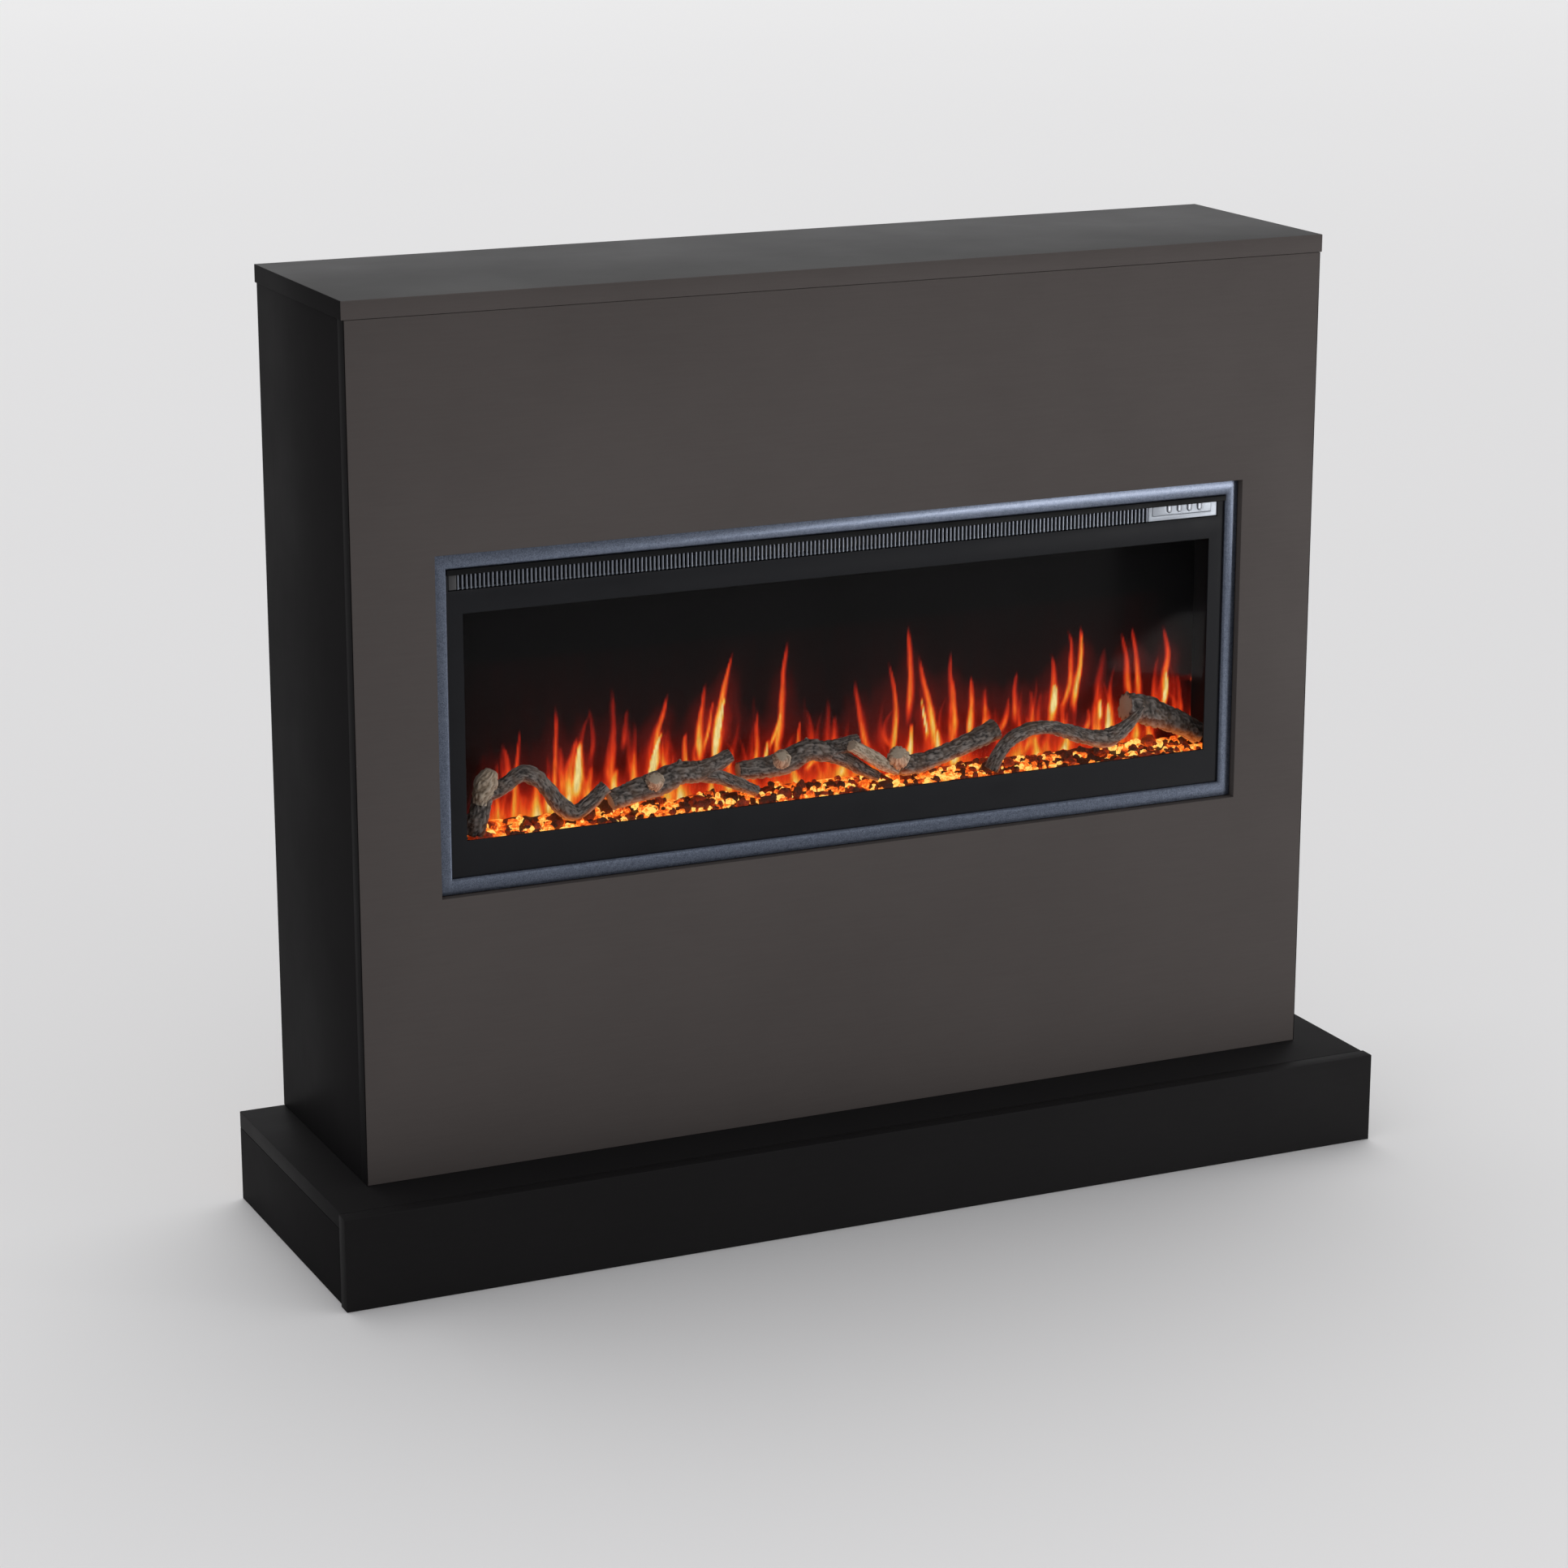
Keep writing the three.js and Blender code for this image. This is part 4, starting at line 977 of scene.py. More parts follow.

# ---- flame light painted on the screen

# Each flame: x and z of three points from base to tip, drawn on the panel's face; half width; heat at
# base and tip.
flameRows = [
    (-397, 462, -400, 500, -399, 538, 3.5, 0.62, 0.45), (-384, 500, -388, 525, -393, 548, 8, 0.60, 0.42),
    (-382, 470, -378, 515, -374, 566, 5, 0.80, 0.45), (-358, 455, -356, 480, -354, 510, 11, 0.95, 0.55),
    (-338, 465, -334, 520, -335, 586, 5.5, 0.75, 0.52), (-325, 470, -321, 505, -312, 552, 10, 0.72, 0.55),
    (-312, 486, -312, 512, -308, 545, 9.5, 1.12, 0.95), (-303, 460, -300, 490, -297, 520, 8, 0.80, 0.50),
    (-296, 520, -294, 548, -298, 578, 6, 0.42, 0.30), (-276, 500, -272, 545, -277, 600, 8, 0.56, 0.30),
    (-262, 530, -259, 550, -256, 572, 7, 0.48, 0.30), (-270, 460, -271, 485, -269, 512, 9, 1.02, 0.70),
    (-252, 480, -250, 505, -248, 530, 5, 0.66, 0.40), (-232, 490, -224, 530, -213, 586, 8, 1.05, 0.50),
    (-231, 492, -226, 512, -218, 545, 4.5, 1.15, 0.95), (-192, 500, -194, 522, -191, 540, 5, 0.78, 0.62),
    (-176, 510, -176, 545, -170, 592, 7, 1.00, 0.42), (-172, 520, -166, 545, -160, 572, 3.5, 0.80, 0.50),
    (-160, 508, -150, 560, -136, 624, 8, 1.10, 0.55), (-160, 515, -154, 540, -147, 575, 4, 1.15, 0.90),
    (-114, 490, -112, 520, -110, 556, 5, 0.80, 0.45), (-104, 488, -102, 505, -99, 523, 4, 1.10, 0.80),
    (-88, 500, -83, 560, -76, 630, 7, 0.82, 0.52), (-98, 512, -90, 530, -84, 552, 4, 0.85, 0.55),
    (-67, 500, -65, 520, -62, 538, 4, 0.80, 0.55), (-30, 480, -34, 520, -30, 562, 10, 0.52, 0.28),
    (16, 492, 5, 530, 0, 578, 7, 0.72, 0.42), (43, 490, 47, 540, 35, 594, 6, 0.95, 0.45),
    (62, 530, 64, 575, 61, 630, 6.5, 0.72, 0.55), (92, 496, 84, 540, 70, 597, 8, 0.98, 0.48),
    (84, 505, 80, 525, 77, 548, 2.8, 1.12, 0.95), (63, 480, 65, 500, 66, 523, 5, 1.05, 0.80),
    (98, 485, 98, 498, 97, 511, 5, 1.08, 0.80), (113, 498, 114, 545, 109, 598, 8, 0.82, 0.42),
    (136, 498, 138, 530, 135, 568, 7, 1.02, 0.48), (152, 520, 151, 535, 150, 550, 6, 0.42, 0.25),
    (191, 510, 190, 535, 187, 566, 7, 0.66, 0.40), (206, 495, 208, 520, 205, 545, 6, 0.60, 0.38),
    (232, 500, 236, 540, 230, 582, 9, 0.90, 0.45), (233, 515, 234, 530, 233, 546, 7.5, 1.12, 0.98),
    (246, 520, 256, 560, 246, 607, 6, 0.85, 0.42), (259, 520, 265, 570, 264, 608, 6.5, 0.98, 0.72),
    (290, 505, 293, 540, 294, 584, 13, 0.46, 0.26), (292, 500, 292, 512, 291, 524, 4, 1.02, 0.80),
    (300, 484, 301, 500, 300, 520, 5, 1.10, 0.80), (326, 520, 322, 560, 314, 598, 7, 0.74, 0.42),
    (338, 520, 333, 560, 326, 603, 6, 0.80, 0.45), (367, 505, 371, 550, 362, 601, 7.5, 0.98, 0.45),
    (370, 512, 372, 528, 370, 546, 3.5, 1.12, 0.90), (390, 490, 388, 515, 384, 545, 7, 0.60, 0.32),
    (404, 531, 405, 535, 406, 540, 2.5, 0.85, 0.60), (408, 480, 408, 497, 407, 512, 6, 0.85, 0.50),
    (-140, 470, -141, 485, -139, 503, 9, 0.95, 0.50), (-20, 470, -18, 486, -22, 505, 10, 0.90, 0.45),
    (120, 470, 121, 484, 118, 500, 10, 0.95, 0.50), (212, 460, 214, 475, 211, 492, 11, 0.98, 0.55),
    (250, 460, 251, 473, 249, 488, 10, 1.02, 0.60), (335, 470, 333, 490, 330, 508, 9, 0.85, 0.45),
    (355, 462, 353, 480, 350, 500, 9, 0.92, 0.50), (390, 462, 391, 478, 388, 496, 9, 0.95, 0.50),
    (-320, 458, -322, 474, -319, 490, 8, 1.00, 0.60), (-345, 470, -344, 490, -345, 512, 6, 0.80, 0.55),
    (-200, 462, -198, 478, -201, 495, 9, 1.00, 0.60), (-165, 462, -166, 476, -163, 490, 8, 1.02, 0.60),
    (-70, 460, -68, 474, -70, 488, 10, 0.98, 0.55),
]

screen = {
    "cell": (1.9, 1.6),
    "top": 640.0,  # nothing glows over this height, on the panel's face
    "hazeLevel": 0.46,
    "hazeHeight": 84.0,
    "hazeFoot": 462.0,
    "hotLevel": 0.62,  # the brightest part of the haze, low down
    "hotHeight": 0.42,
    "streakPitch": (11, 46),
    "broadPitch": (60, 70),
    "thinning": 1.25,
    "topFade": (12, 3),  # below the top
    "ends": (40.0, 75.0, 30.0),  # the haze fades in over the first two, and out over the last two
    "blend": 2.6,  # flames add up as powers
    "thickness": 2.0,
    "strays": 70,
    "strayAcross": (-425, 425),
    "strayFoot": (468, 500),
    "strayTall": (26, 84),
    "strayLean": 5,
    "strayWidth": (4, 10),
    "strayHeat": (0.36, 0.74),
    "strayCooling": 0.0028,  # per millimetre of height
    "strayLift": 0.14,
    "strayTip": 0.55,
    "seed": 4,
    "stops": [0.0, 0.14, 0.30, 0.46, 0.62, 0.78, 0.92, 1.10],
    "colours": [(0, 0, 0), (0.008, 0.0006, 0.0003), (0.085, 0.0030, 0.0012), (0.36, 0.0125, 0.004),
                (0.82, 0.050, 0.009), (1.0, 0.20, 0.020), (1.0, 0.50, 0.055), (1.0, 0.82, 0.33)],
}

flame = {
    "swayPitch": 27.0,  # millimetres from bend to bend
    "sway": 0.7,  # of the half width
    "raggedPitch": 9.0,
    "ragged": 0.16,
    "body": (0.85, 0.75, 0.9),  # width at the foot, its gain with height, how fast it closes to the tip
    "leastWidth": 0.35,
    "crisp": (4, 1.3),  # power and rate of the fall over the crisp edge
    "soft": (1.7, 1.2),  # and over the soft one
    "streak": (0.16, 0.25, 0.3),  # its heat, place and width
    "near": (0.38, 1.5, 0.28, 0.35, 1.08),  # glow along the flame: heat, power, rate, fade from and to
    "wide": (0.30, 22.0, 0.45, 1.15),  # glow round it: heat, reach, fade from and to
    "foot": (-0.35, 0.22),
    "tip": (0.8, 1.03),
    "cooling": 0.8,
}


def flameHeat(x, z, course, halfWidth, baseHeat, tipHeat, seed):
    # closeness to a smooth course: the width closes towards a sharp tip, one edge is crisp and the other
    # soft, a hotter streak runs beside the crisp edge, the heat falls from base to tip, and a dull glow
    # spreads round it
    f = flame
    (x0, z0), (x1, _), (x2, z2) = course
    t = (z - z0) / (z2 - z0)
    inside = np.clip(t, 0, 1)
    bend = x1 - (x0 + x2) / 2
    sway = valueNoise(np.stack([z / f["swayPitch"], np.full_like(z, seed * 1.7), 0 * z], -1), seed) - 0.5
    centre = x0 + (x2 - x0) * inside + 4 * bend * inside * (1 - inside) + sway * halfWidth * f["sway"]
    raggedPlace = np.stack([z / f["raggedPitch"], np.full_like(z, seed * 0.9), 0 * z], -1)
    ragged = valueNoise(raggedPlace, seed + 5) - 0.5
    least, gain, closing = f["body"]
    width = (least + gain * inside) * (1 - inside) ** closing + f["ragged"] * ragged
    width = halfWidth * width + f["leastWidth"]
    side = (x - centre) / width * (1 if seed % 2 else -1)
    crisp = np.exp(-np.clip(side, 0, None) ** f["crisp"][0] * f["crisp"][1])
    soft = np.exp(-np.clip(-side, 0, None) ** f["soft"][0] * f["soft"][1])
    hot, at, broad = f["streak"]
    streak = hot * np.exp(-(((side - at) / broad) ** 2)) * (1 - inside)
    warm, power, rate, *fade = f["near"]
    near = warm * baseHeat * np.exp(-np.abs(side) ** power * rate) * (1 - smoothStep(*fade, t))
    warm, reach, *fade = f["wide"]
    wide = warm * baseHeat * np.exp(-(((x - centre) / reach) ** 2)) * (1 - smoothStep(*fade, t))
    foot = smoothStep(*f["foot"], t)
    tip = 1 - smoothStep(*f["tip"], t)
    heat = baseHeat + (tipHeat - baseHeat) * inside ** f["cooling"]
    return np.maximum((heat + streak) * crisp * soft * foot * tip, np.maximum(near, wide) * foot)


def strayFlames(s):
    # faint small flames between the drawn ones
    rng = np.random.default_rng(s["seed"])
    rows = []
    for _ in range(s["strays"]):
        x, z = rng.uniform(*s["strayAcross"]), rng.uniform(*s["strayFoot"])
        tall, lean = rng.uniform(*s["strayTall"]), rng.normal(0, s["strayLean"], 2)
        heat = rng.uniform(*s["strayHeat"]) - s["strayCooling"] * tall
        course = x, z, x + lean[0], z + tall / 2, x + lean[1], z + tall
        rows.append((*course, rng.uniform(*s["strayWidth"]), heat + s["strayLift"], heat * s["strayTip"]))
    return rows


def makeFlames(s):
    low, high = nodeBox("flame_screen")
    depth = low[1] - frontY
    top = behind((0.0, s["top"]), depth)[2]
    columns = int((high[0] - low[0]) / s["cell"][0])
    rows = int((top - low[2]) / s["cell"][1])
    x = np.linspace(low[0], high[0], columns)
    z = np.linspace(low[2], top, rows)
    z = np.append(z, high[2])
    gx, gz = np.meshgrid(x, z)
    heat, power = np.zeros_like(gx), s["blend"]
    for k, row in enumerate(flameRows + strayFlames(s)):
        onScreen = behind(np.reshape(row[:6], (3, 2)), depth)[:, [0, 2]]
        one = flameHeat(gx, gz, onScreen, *row[6:], 40 + k)
        heat = (heat**power + one**power) ** (1 / power)
    # a low curtain of dull flame behind the logs, in rising streaks that thin out with height
    base = behind((0.0, s["hazeFoot"]), depth)[2]
    rise = np.clip((gz - base) / s["hazeHeight"], 0, None)
    narrow, tall = s["streakPitch"]
    streak = layeredNoise(np.stack([gx / narrow, gz / tall, 0 * gx], -1), 7, 3)
    wide, tall = s["broadPitch"]
    broad = layeredNoise(np.stack([gx / wide, gz / tall, 0 * gx], -1), 17, 2)
    fall = s["hazeLevel"] * np.exp(-(rise ** s["thinning"]))
    curtain = fall * (0.45 + 0.85 * streak) * (0.6 + 0.8 * broad)
    start, full, stop = s["ends"]
    ends = smoothStep(low[0] + start, low[0] + full, gx)
    ends = ends * (1 - smoothStep(high[0] - full, high[0] - stop, gx))
    hot = s["hotLevel"] * np.exp(-(rise / s["hotHeight"]) ** 2) * (0.55 + 0.9 * streak)
    heat = (heat**power + (curtain * ends) ** power + (hot * ends) ** power) ** (1 / power)
    heat *= 1 - smoothStep(top - s["topFade"][0], top - s["topFade"][1], gz)
    colours = np.stack([np.interp(heat, s["stops"], [c[k] for c in s["colours"]]) for k in range(3)], -1)

    # the screen is a thin plate: the painted grid is its front, and one face closes its back
    frontFace = np.stack([gx, np.full_like(gx, low[1]), gz], -1).reshape(-1, 3)
    height, width = gx.shape
    count = height * width
    index = np.arange(count).reshape(height, width)
    rim = np.concatenate([index[0], index[1:, -1], index[-1, -2::-1], index[-2:0:-1, 0]])
    points = np.concatenate([frontFace, frontFace[rim] + (0, s["thickness"], 0)])
    after = np.roll(np.arange(len(rim)), -1)
    faces = gridQuads(height, width)
    faces += np.stack([rim, np.arange(len(rim)) + count, after + count, rim[after]], -1).tolist()
    faces.append((np.arange(len(rim))[::-1] + count).tolist())
    piece = makePiece("flame_screen_panel", points, faces, looks["flame"], "flame_panel",
                      nodes=["flame_screen"])
    # the flame picture's light, painted on the screen's front points as glow; the back rim stays dark
    painted = np.concatenate([colours.reshape(-1, 3), np.zeros((len(rim), 3))])
    setColours(piece, "firePaint", painted)


makeFlames(screen)
print("flames made")

# ---- ember bed

bed = {
    "cell": 2.6,
    "lump": 5.5,
    "lumpPitch": (15.0, 13.0),
    "sink": 12.0,  # of the front edge, below the tray's highest point
    "rise": 11.0,  # from front to back
    "thickness": 3.0,
    "patchPitch": (26.0, 20.0),
    "patchRange": (0.36, 0.70),
    "heat": (0.16, 0.80),  # painted glow of the dimmest patch, and how much the brightest adds
    "underGlow": 0.4,
    "chips": 1150,
    "glowingShare": 0.52,
    "chipSize": (2.4, 6.2),
    "coals": 44,
    "coalSize": (7.0, 12.5),
    "seed": 21,
}


def bedHeightAt(x, y):
    # lumps over a bed that rises towards the back
    low, high = nodeBox("ember_tray")
    share = (y - low[1]) / (high[1] - low[1])
    level = high[2] - bed["sink"] + bed["rise"] * share
    lumps = layeredNoise(np.stack([x / bed["lumpPitch"][0], y / bed["lumpPitch"][1], 0 * x], -1), 5, 3)
    return level + bed["lump"] * (lumps - 0.5) * 2


def makeBed(b):
    low, high = nodeBox("ember_tray")
    columns = int((high[0] - low[0]) / b["cell"])
    rows = int((high[1] - low[1]) / b["cell"])
    gx, gy = np.meshgrid(np.linspace(low[0], high[0], columns), np.linspace(low[1], high[1], rows))
    top = bedHeightAt(gx, gy)
    patches = layeredNoise(np.stack([gx / b["patchPitch"][0], gy / b["patchPitch"][1], 0 * gx], -1), 9, 3)
    heat = smoothStep(*b["patchRange"], patches) * b["heat"][1] + b["heat"][0]
    upper = np.stack([gx, gy, np.minimum(top, high[2] - 0.2)], -1)
    lower = np.stack([gx, gy, upper[..., 2] - b["thickness"]], -1)
    count = gx.size
    faces = gridQuads(rows, columns)
    faces += [[i + count for i in f[::-1]] for f in faces]
    index = np.arange(count).reshape(rows, columns)
    rim = np.concatenate([index[0], index[1:, -1], index[-1, -2::-1], index[-2:0:-1, 0]])
    faces += [[a, a + count, c + count, c] for a, c in zip(rim.tolist(), np.roll(rim, -1).tolist())]
    points = np.concatenate([upper.reshape(-1, 3), lower.reshape(-1, 3)])
    piece = makePiece("ember_bed", points, faces, looks["ember"], "ember_resin",
                      nodes=["ember_tray"], sharp=80)
    setNumbers(piece, "warmth", np.concatenate([heat.ravel(), heat.ravel() * b["underGlow"]]))


def stoneShell(rings=5, around=7):
    # a rough ball of few faces, as a lathe of unit radius
    turn = np.linspace(0, np.pi, rings + 2)
    profile = np.stack([np.sin(turn), -np.cos(turn)], -1)
    return lathe(profile, (0, 0, 0), "z", around)


stones = {
    "margin": ((12.0, 6.0), (12.0, 7.0)),  # kept from the tray's low and high sides
    "stretch": (0.55, 1.25),
    "dent": 0.42,
    "lean": 0.5,  # radians either way
    "seat": 0.35,  # height of a centre over the bed, as a share of its size
    "hot": (0.55, 1.2),
    "cold": (0.0, 0.34),
    "speckle": (0.65, 1.25),
    "under": 0.35,  # extra painted glow on the underside, light from below
}


def scatterStones(name, count, sizes, glowingShare, seed, squash):
    # rough balls with their own stretch, turn and dents, laid on the bed; the painted glow is brightest
    # underneath
    s, rng = stones, np.random.default_rng(seed)
    ball, faces = stoneShell()
    low, high = nodeBox("ember_tray")
    x = rng.uniform(low[0] + s["margin"][0][0], high[0] - s["margin"][1][0], count)
    y = rng.uniform(low[1] + s["margin"][0][1], high[1] - s["margin"][1][1], count)
    size = rng.uniform(*sizes, count)
    stretch = rng.uniform(*s["stretch"], (count, 1, 3)) * (1, 0.9, squash)
    dents = 1 + s["dent"] * (rng.random((count, len(ball), 1)) - 0.5)
    turn, lean = rng.uniform(0, 2 * np.pi, count), rng.uniform(-s["lean"], s["lean"], count)
    shape = ball[None] * dents * stretch * size[:, None, None]
    cosT, sinT, cosL, sinL = np.cos(turn), np.sin(turn), np.cos(lean), np.sin(lean)
    zero, one = np.zeros(count), np.ones(count)
    yaw = np.stack([cosT, -sinT, zero, sinT, cosT, zero, zero, zero, one], -1).reshape(-1, 3, 3)
    tip = np.stack([one, zero, zero, zero, cosL, -sinL, zero, sinL, cosL], -1).reshape(-1, 3, 3)
    shape = np.einsum("nij,njk,nmk->nmi", yaw, tip, shape)
    ground = bedHeightAt(x, y) + size * squash * s["seat"]
    place = np.stack([x, y, ground], -1)
    points = shape + place[:, None]
    chosen = rng.random(count) < glowingShare
    hot = np.where(chosen, rng.uniform(*s["hot"], count), rng.uniform(*s["cold"], count))
    under = np.clip(0.55 - 0.5 * shape[..., 2] / size[:, None], 0, 1)
    speckle = rng.uniform(*s["speckle"], (count, len(ball)))
    heat = hot[:, None] * speckle + under * s["under"]
    allFaces = [[i + k * len(ball) for i in f] for k in range(count) for f in faces]
    piece = makePiece(name, points.reshape(-1, 3), allFaces, looks["ember"], "ember_resin", sharp=28)
    setNumbers(piece, "warmth", heat)


makeBed(bed)
scatterStones("ember_chips", bed["chips"], bed["chipSize"], bed["glowingShare"], bed["seed"], squash=0.8)
scatterStones("dark_coals", bed["coals"], bed["coalSize"], 0.0, bed["seed"] + 3, squash=0.75)
print("ember bed made")

# ---- logs

# Spines are drawn on the panel's face; each point has its depth behind it and a half thickness.
logShapes = {
    "log_1": [
        {"spine": [(-426, 456, 44, 10.5), (-419, 478, 44, 10.5), (-411, 498, 44, 9.5), (-400, 500, 44, 8),
                   (-386, 507, 45, 8), (-372, 514, 46, 8.5), (-358, 509, 46, 8.5), (-344, 493, 46, 8),
                   (-330, 474, 46, 9), (-316, 466, 46, 8.5), (-301, 474, 46, 7.5), (-281, 490, 46, 7.5)]},
        {"spine": [(-417, 488, 42, 7.5), (-414, 501, 41, 10.5), (-409, 513, 40, 10.5), (-405, 521, 39, 6.5)],
         "pale": True},
    ],
    "log_2": [
        {"spine": [(-276, 474, 44, 10), (-256, 480, 45, 11.5), (-228, 486, 47, 12.5), (-200, 494, 48, 12),
                   (-178, 494, 48, 11), (-160, 500, 48, 9), (-142, 508, 47, 7)]},
        {"spine": [(-180, 492, 47, 9), (-160, 488, 46, 8), (-138, 478, 44, 7), (-112, 466, 43, 5.5)]},
        {"spine": [(-228, 486, 40, 9), (-227, 490, 34, 9.5), (-227, 492, 29, 6)], "pale": True},
        {"spine": [(-202, 496, 48, 7), (-200, 504, 48, 4), (-199, 509, 48, 1.5)]},
    ],
    "log_3": [
        {"spine": [(-134, 490, 54, 8.5), (-112, 490, 54, 10.5), (-85, 492, 54, 12), (-57, 502, 53, 11.5),
                   (-34, 500, 53, 10.5), (-14, 503, 53, 9), (4, 508, 53, 6.5)]},
        {"spine": [(-36, 498, 53, 9), (-16, 491, 52, 8), (4, 478, 52, 7), (27, 465, 51, 5)]},
        {"spine": [(-85, 494, 46, 8.5), (-84, 498, 40, 9), (-84, 500, 35, 5.5)], "pale": True},
        {"spine": [(-58, 504, 53, 6.5), (-57, 511, 53, 3.8), (-56, 516, 53, 1.4)]},
    ],
    "log_4": [
        {"spine": [(52, 476, 47, 11), (66, 474, 48, 11), (90, 478, 49, 10), (118, 486, 50, 9.5),
                   (145, 494, 51, 10.5), (166, 502, 51, 11.5)]},
        {"spine": [(-4, 503, 33, 6), (14, 491, 37, 7), (32, 479, 41, 7), (48, 470, 46, 6)], "pale": True},
        {"spine": [(51, 480, 44, 11), (50, 485, 38, 11.5), (50, 488, 33, 7)], "pale": True},
    ],
    "log_5": [
        {"spine": [(160, 458, 38, 8), (170, 474, 37, 7.5), (184, 488, 36, 7.5), (206, 497, 36, 7.5),
                   (232, 496, 36, 7.5), (256, 488, 35, 7.5), (280, 480, 34, 8.5), (300, 477, 33, 9.5),
                   (320, 485, 32, 7.5), (334, 496, 31, 5), (345, 507, 30, 1.8)]},
    ],
    "log_6": [
        {"spine": [(322, 510, 58, 15), (340, 506, 58, 14.5), (362, 496, 58, 14), (388, 484, 58, 13),
                   (414, 470, 58, 11.5)]},
    ],
}

bark = {
    "around": 44,
    "step": 1.5,
    "ridge": 0.20,
    "ridgeMean": 0.62,
    "lump": 0.16,
    "twist": (2.1, 14.0),  # noise scale round the log and pitch along it
    "fibre": (5.2, 9.0, 0.62),  # the same, and how coarse it is
    "crack": (2.2, 1.6),  # how narrow and how steep
    "lumpNoise": (1.1, 17.0),
    "capRings": 5,
    "capBulge": (0.9, 0.7),
    "capRidge": 0.6,
    "paleCut": 0.85,
    "glowRise": 26.0,
    "glowFacing": (0.05, 0.95),
    "glow": 0.9,
}


def smoothPath(rows, step):
    # a curve through the rows, each column joined by a cubic whose slopes come from its neighbours
    rows = np.asarray(rows, float)
    lengths = np.linalg.norm(np.diff(rows[:, :3], axis=0), axis=1)
    at = np.concatenate([[0], np.cumsum(lengths)])
    slope = np.gradient(rows, at, axis=0)
    fine = np.linspace(0, at[-1], max(int(at[-1] / step), 6))
    cell = np.clip(np.searchsorted(at, fine, side="right") - 1, 0, len(at) - 2)
    width = (at[cell + 1] - at[cell])[:, None]
    t = (fine - at[cell])[:, None] / width
    h00, h10 = 2 * t**3 - 3 * t**2 + 1, t**3 - 2 * t**2 + t
    h01, h11 = -2 * t**3 + 3 * t**2, t**3 - t**2
    made = h00 * rows[cell] + h10 * width * slope[cell]
    made = made + h01 * rows[cell + 1] + h11 * width * slope[cell + 1]
    return made, fine


def logShell(spine, seed, pale):
    # a ring of points at each step of the spine; long ridges, lumps and cracks push the ring in and out,
    # and at both ends rings draw in to a rough, slightly hollow cut face
    drawn = np.asarray(spine, float)
    place = behind(drawn[:, :2], drawn[:, 2])
    rows, along = smoothPath(np.column_stack([place, drawn[:, 3]]), bark["step"])
    centre, radius = rows[:, :3], rows[:, 3]
    ahead = np.gradient(centre, axis=0)
    ahead /= np.linalg.norm(ahead, axis=1)[:, None]
    side = np.array([0.0, 1.0, 0.0]) - ahead * ahead[:, 1:2]
    side /= np.linalg.norm(side, axis=1)[:, None]
    up = np.cross(ahead, side)
    turn = np.linspace(0, 2 * np.pi, bark["around"], endpoint=False)
    t, s = np.meshgrid(turn, along)
    scale, pitch = bark["twist"]
    twistPlace = np.stack([np.cos(t) * scale, np.sin(t) * scale, s / pitch + seed * 3.7], -1)
    twist = layeredNoise(twistPlace, seed, 3)
    scale, pitch, coarse = bark["fibre"]
    fibrePlace = np.stack([np.cos(t) * scale + twist * 2, np.sin(t) * scale + twist * 2, s / pitch], -1)
    fibre = layeredNoise(fibrePlace, seed + 11, 3, coarse)
    cracks = 1 - np.abs(2 * fibre - 1) * bark["crack"][0]
    ridge = np.clip(1 - np.clip(cracks, 0, 1) ** bark["crack"][1], 0, 1)
    scale, pitch = bark["lumpNoise"]
    lumpPlace = np.stack([np.cos(t) * scale, np.sin(t) * scale, s / pitch + seed], -1)
    lumps = layeredNoise(lumpPlace, seed + 23, 2) - 0.5
    rowRadius = radius[:, None] * (1 + bark["lump"] * 2 * lumps + bark["ridge"] * (ridge - bark["ridgeMean"]))
    ring = side[:, None] * np.cos(t)[..., None] + up[:, None] * np.sin(t)[..., None]
    points = centre[:, None] + ring * rowRadius[..., None]
    shares = np.linspace(1, 0, bark["capRings"] + 1)[1:-1]
    caps = []
    for end, sign in ((0, -1), (-1, 1)):
        rim = points[end]
        middle = rim.mean(0)
        hollow = ahead[end] * sign
        edge, tip = bark["capBulge"]
        rings = [middle + (rim - middle) * k + hollow * (edge * (1 - k)) for k in shares]
        caps.append((np.array(rings), middle + hollow * tip))
    body = np.concatenate([caps[0][0][::-1], points, caps[1][0]])
    rings, around = body.shape[:2]
    faces = gridQuads(rings, around, wrapColumns=True)
    flat = body.reshape(-1, 3)
    first, last = len(flat), len(flat) + 1
    base = (rings - 1) * around
    faces += [[first, (i + 1) % around, i] for i in range(around)]
    faces += [[last, base + i, base + (i + 1) % around] for i in range(around)]
    flat = np.concatenate([flat, [caps[0][1], caps[1][1]]])
    n = len(shares)
    cut = np.zeros((rings, around))
    cut[:n], cut[-n:] = 1.0, 1.0
    ridgeAll = np.full((rings, around), bark["capRidge"])
    ridgeAll[n:-n] = ridge
    if pale:
        cut[:] = bark["paleCut"]
    down = np.zeros((rings, around))
    down[n:-n] = -(ring[..., 2])
    ends = np.array([1.0, 1.0])
    return (flat, faces, np.append(ridgeAll.ravel(), ends * bark["capRidge"]),
            np.append(cut.ravel(), ends), np.append(down.ravel(), ends * 0))


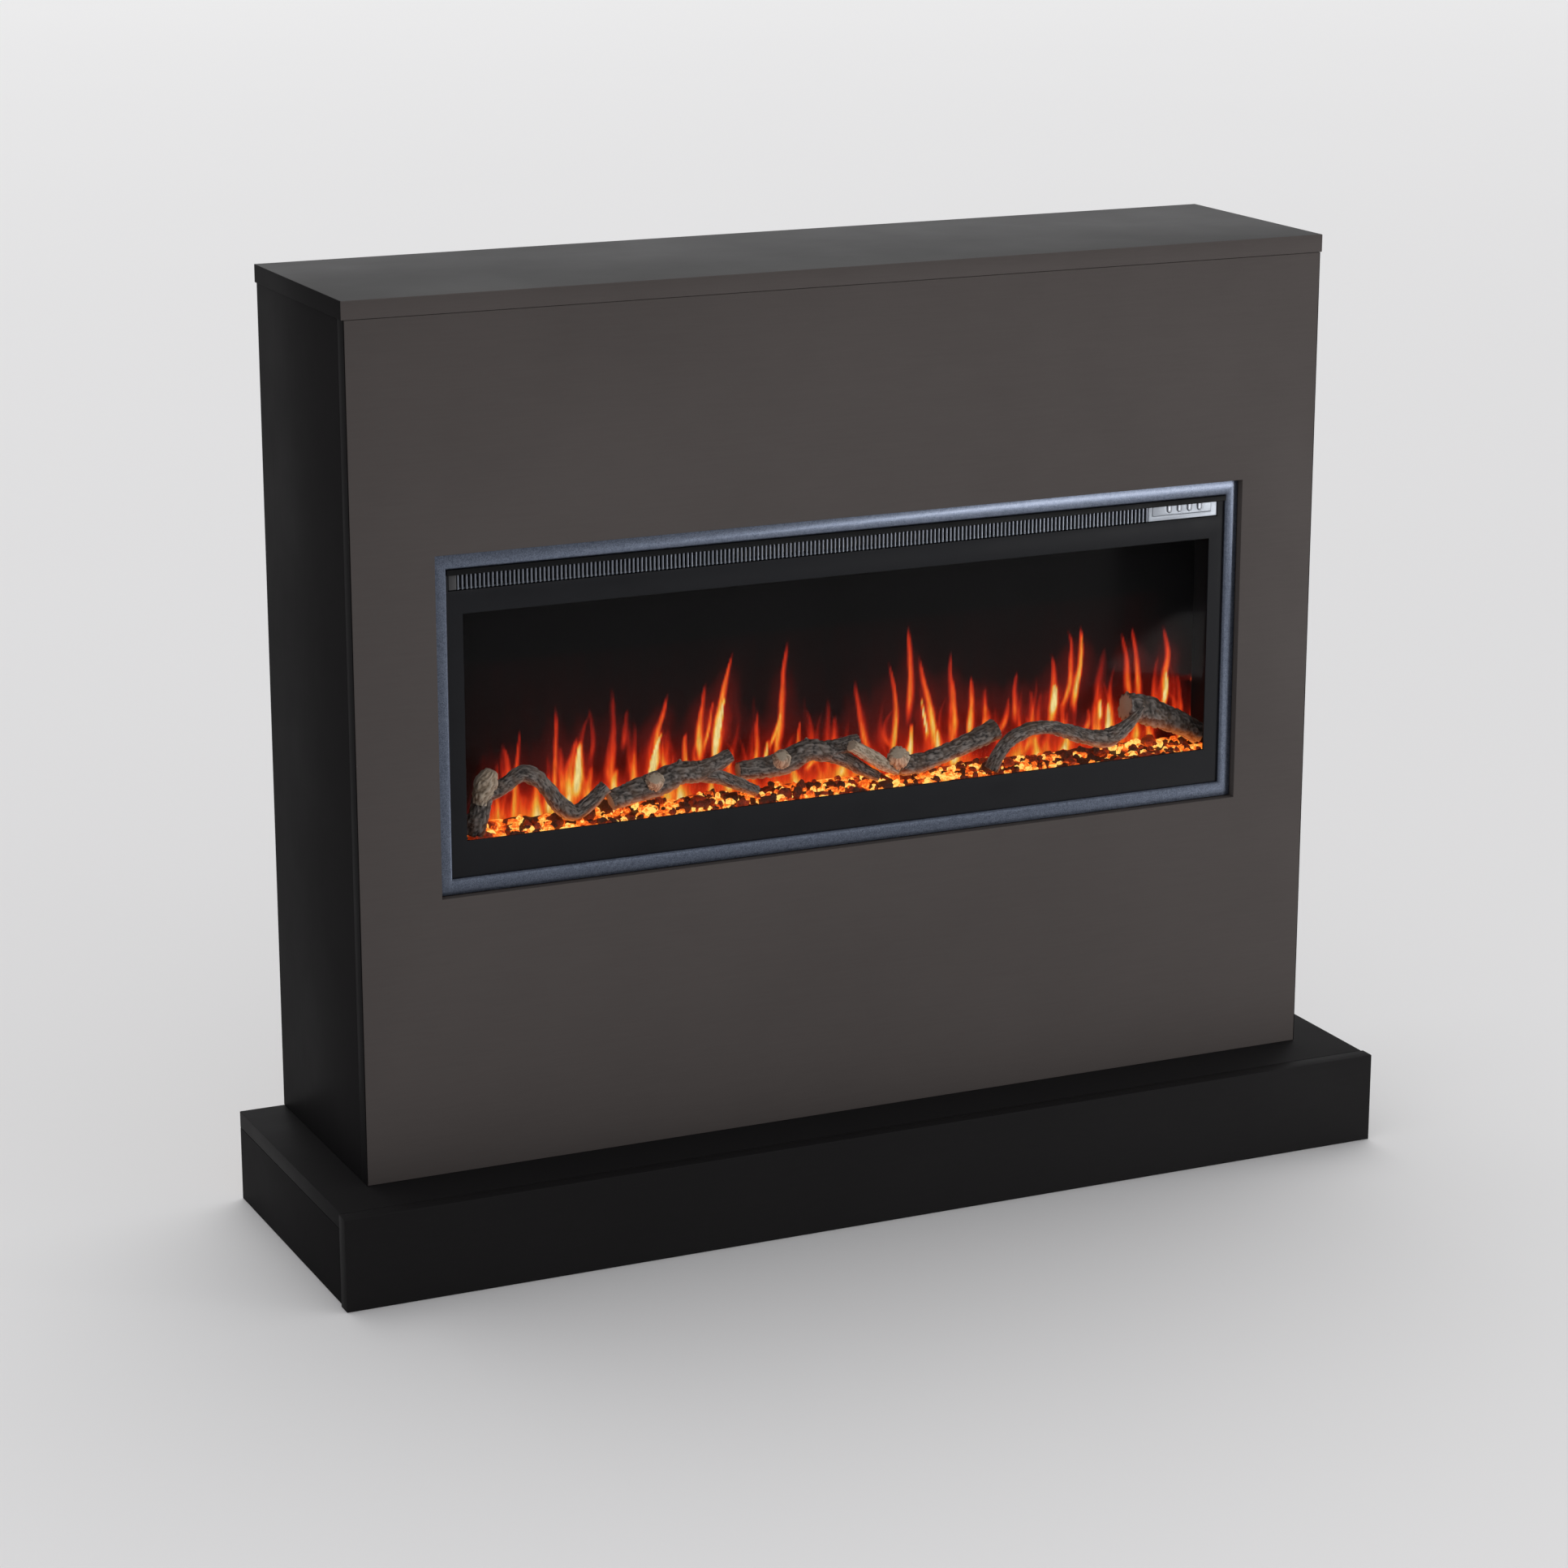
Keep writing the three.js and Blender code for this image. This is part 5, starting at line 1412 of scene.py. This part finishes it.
def makeLogs():
    trayTop = nodeBox("ember_tray")[1][2]
    for k, (node, limbs) in enumerate(logShapes.items()):
        shells, ridge, cut, down = [], [], [], []
        for j, limb in enumerate(limbs):
            flat, faces, r, c, d = logShell(limb["spine"], 60 + 10 * k + j, limb.get("pale", False))
            shells.append((flat, faces))
            ridge.append(r)
            cut.append(c)
            down.append(d)
        points, faces = joinShells(*shells)
        piece = makePiece(node + "_cast", points, faces, looks["bark"], "bark", nodes=[node], sharp=75)
        setNumbers(piece, "ridge", np.concatenate(ridge))
        setNumbers(piece, "cut", np.concatenate(cut))
        # painted glow of the ember bed's light: on faces turned down, fading with height over the tray
        rise = np.clip((points[:, 2] - trayTop) / bark["glowRise"], 0, None)
        facing = smoothStep(*bark["glowFacing"], np.concatenate(down))
        setNumbers(piece, "glow", facing * np.exp(-rise) * bark["glow"])


makeLogs()
print("logs made")

# ---- screws and small fixings

screwHead = {"radius": 3.6, "height": 1.9, "socket": 1.5, "depth": 1.1, "inset": 9}


def screwProfile(s):
    # flat seat, domed edge, a round recess for the driver; each point is (radius, height)
    r, h = s["radius"], s["height"]
    return [(0, 0), (r, 0), (r, 0.25 * h), (0.9 * r, 0.62 * h), (0.68 * r, 0.9 * h), (s["socket"] + 0.5, h),
            (s["socket"], h - 0.15), (s["socket"] * 0.9, h - s["depth"]), (0, h - s["depth"])]


def makeScrews(s):
    # three over three heads on the rear cover
    low, high = nodeBox("rear_service_cover")
    places = [(x, high[1], z) for x in (low[0] + s["inset"], 0, high[0] - s["inset"])
              for z in (low[2] + s["inset"], high[2] - s["inset"])]
    shell = lathe(screwProfile(s), (0, 0, 0), "y")
    makePiece("cover_screws", *repeatShell(*shell, places), looks["zinc"], "zinc_steel", sharp=35)


makeScrews(screwHead)

# ---- CAD nodes that keep their shape

carried = {
    "chipBoard": ["plinth_rear_rail", "plinth_middle_web", "rear_top_rail", "rear_bottom_rail",
                  "insert_shelf", "left_shelf_cleat", "right_shelf_cleat"],
    "zinc": ["brace_low_left", "brace_low_right", "brace_high_left", "brace_high_right",
             "left_fixing_bracket", "right_fixing_bracket", "blower_housing", "blower_left_end",
             "blower_right_end", "blower_motor", "thermal_cutout", "rotor_motor"],
    "casing": ["firebox_casing", "rear_service_cover", "heat_baffle"],
    "plastic": ["mains_inlet", "blower_wheel", "wiring_loom", "rotor_bush"],
    "circuit": ["control_board", "flame_lamp_board", "ember_lamp_board"],
    "mica": ["heater_frame"],
    "ribbon": ["heating_element"],
    "silver": ["flame_rotor"],
}


def dressNodes(table):
    for look, nodes in table.items():
        for node in nodes:
            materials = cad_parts[node].data.materials
            materials.clear()
            materials.append(looks[look])


dressNodes(carried)
print("carried nodes dressed")

# ---- stage and light

stage = {
    "floorSize": 90.0,
    "floorDrop": 0.0002,
    "worldLevel": 0.62,
    "worldTint": (0.985, 0.985, 1.0),
    "sun": {"from": (0.9, 1.9, 4.4), "spread": 50.0, "power": 1.02, "tint": (1.0, 0.995, 0.98)},
    "panel": {"place": (2.82, -2.7, 0.14), "aim": (0.46, -0.1, 0.6), "size": 0.7, "power": 62.0,
              "tint": (1.0, 0.995, 0.99)},
}


def addLight(name, kind, place, aim, **settings):
    data = bpy.data.lights.new(name, kind)
    for key, value in settings.items():
        setattr(data, key, value)
    light = bpy.data.objects.new(name, data)
    light.location = place
    light.rotation_mode = "QUATERNION"
    light.rotation_quaternion = (Vector(aim) - Vector(place)).to_track_quat("-Z", "Y")
    light.visible_camera = False  # lights don't show as bright shapes
    bpy.context.scene.collection.objects.link(light)


def makeStage(s):
    half = s["floorSize"] / 2
    side = np.linspace(-half, half, 9)
    gx, gy = np.meshgrid(side, side)
    points = np.stack([gx, gy, np.full_like(gx, -s["floorDrop"])], -1)
    mesh = bpy.data.meshes.new("floor")
    mesh.from_pydata(points.reshape(-1, 3).tolist(), [], gridQuads(9, 9))
    mesh.materials.append(floorPaint("floor_paint", floorLook))
    floor = bpy.data.objects.new("floor", mesh)
    bpy.context.scene.collection.objects.link(floor)
    sun, panel = s["sun"], s["panel"]
    addLight("sun", "SUN", sun["from"], (0, 0, 0), energy=sun["power"], color=sun["tint"],
             angle=math.radians(sun["spread"]))
    addLight("panel", "AREA", panel["place"], panel["aim"], energy=panel["power"], color=panel["tint"],
             size=panel["size"])
    world = bpy.data.worlds.new("studio")
    world.use_nodes = True
    bpy.context.scene.world = world
    background = world.node_tree.nodes["Background"]
    background.inputs["Color"].default_value = (*s["worldTint"], 1.0)
    background.inputs["Strength"].default_value = s["worldLevel"]
    bpy.context.scene.view_settings.view_transform = "Standard"


makeStage(stage)
print("stage made")
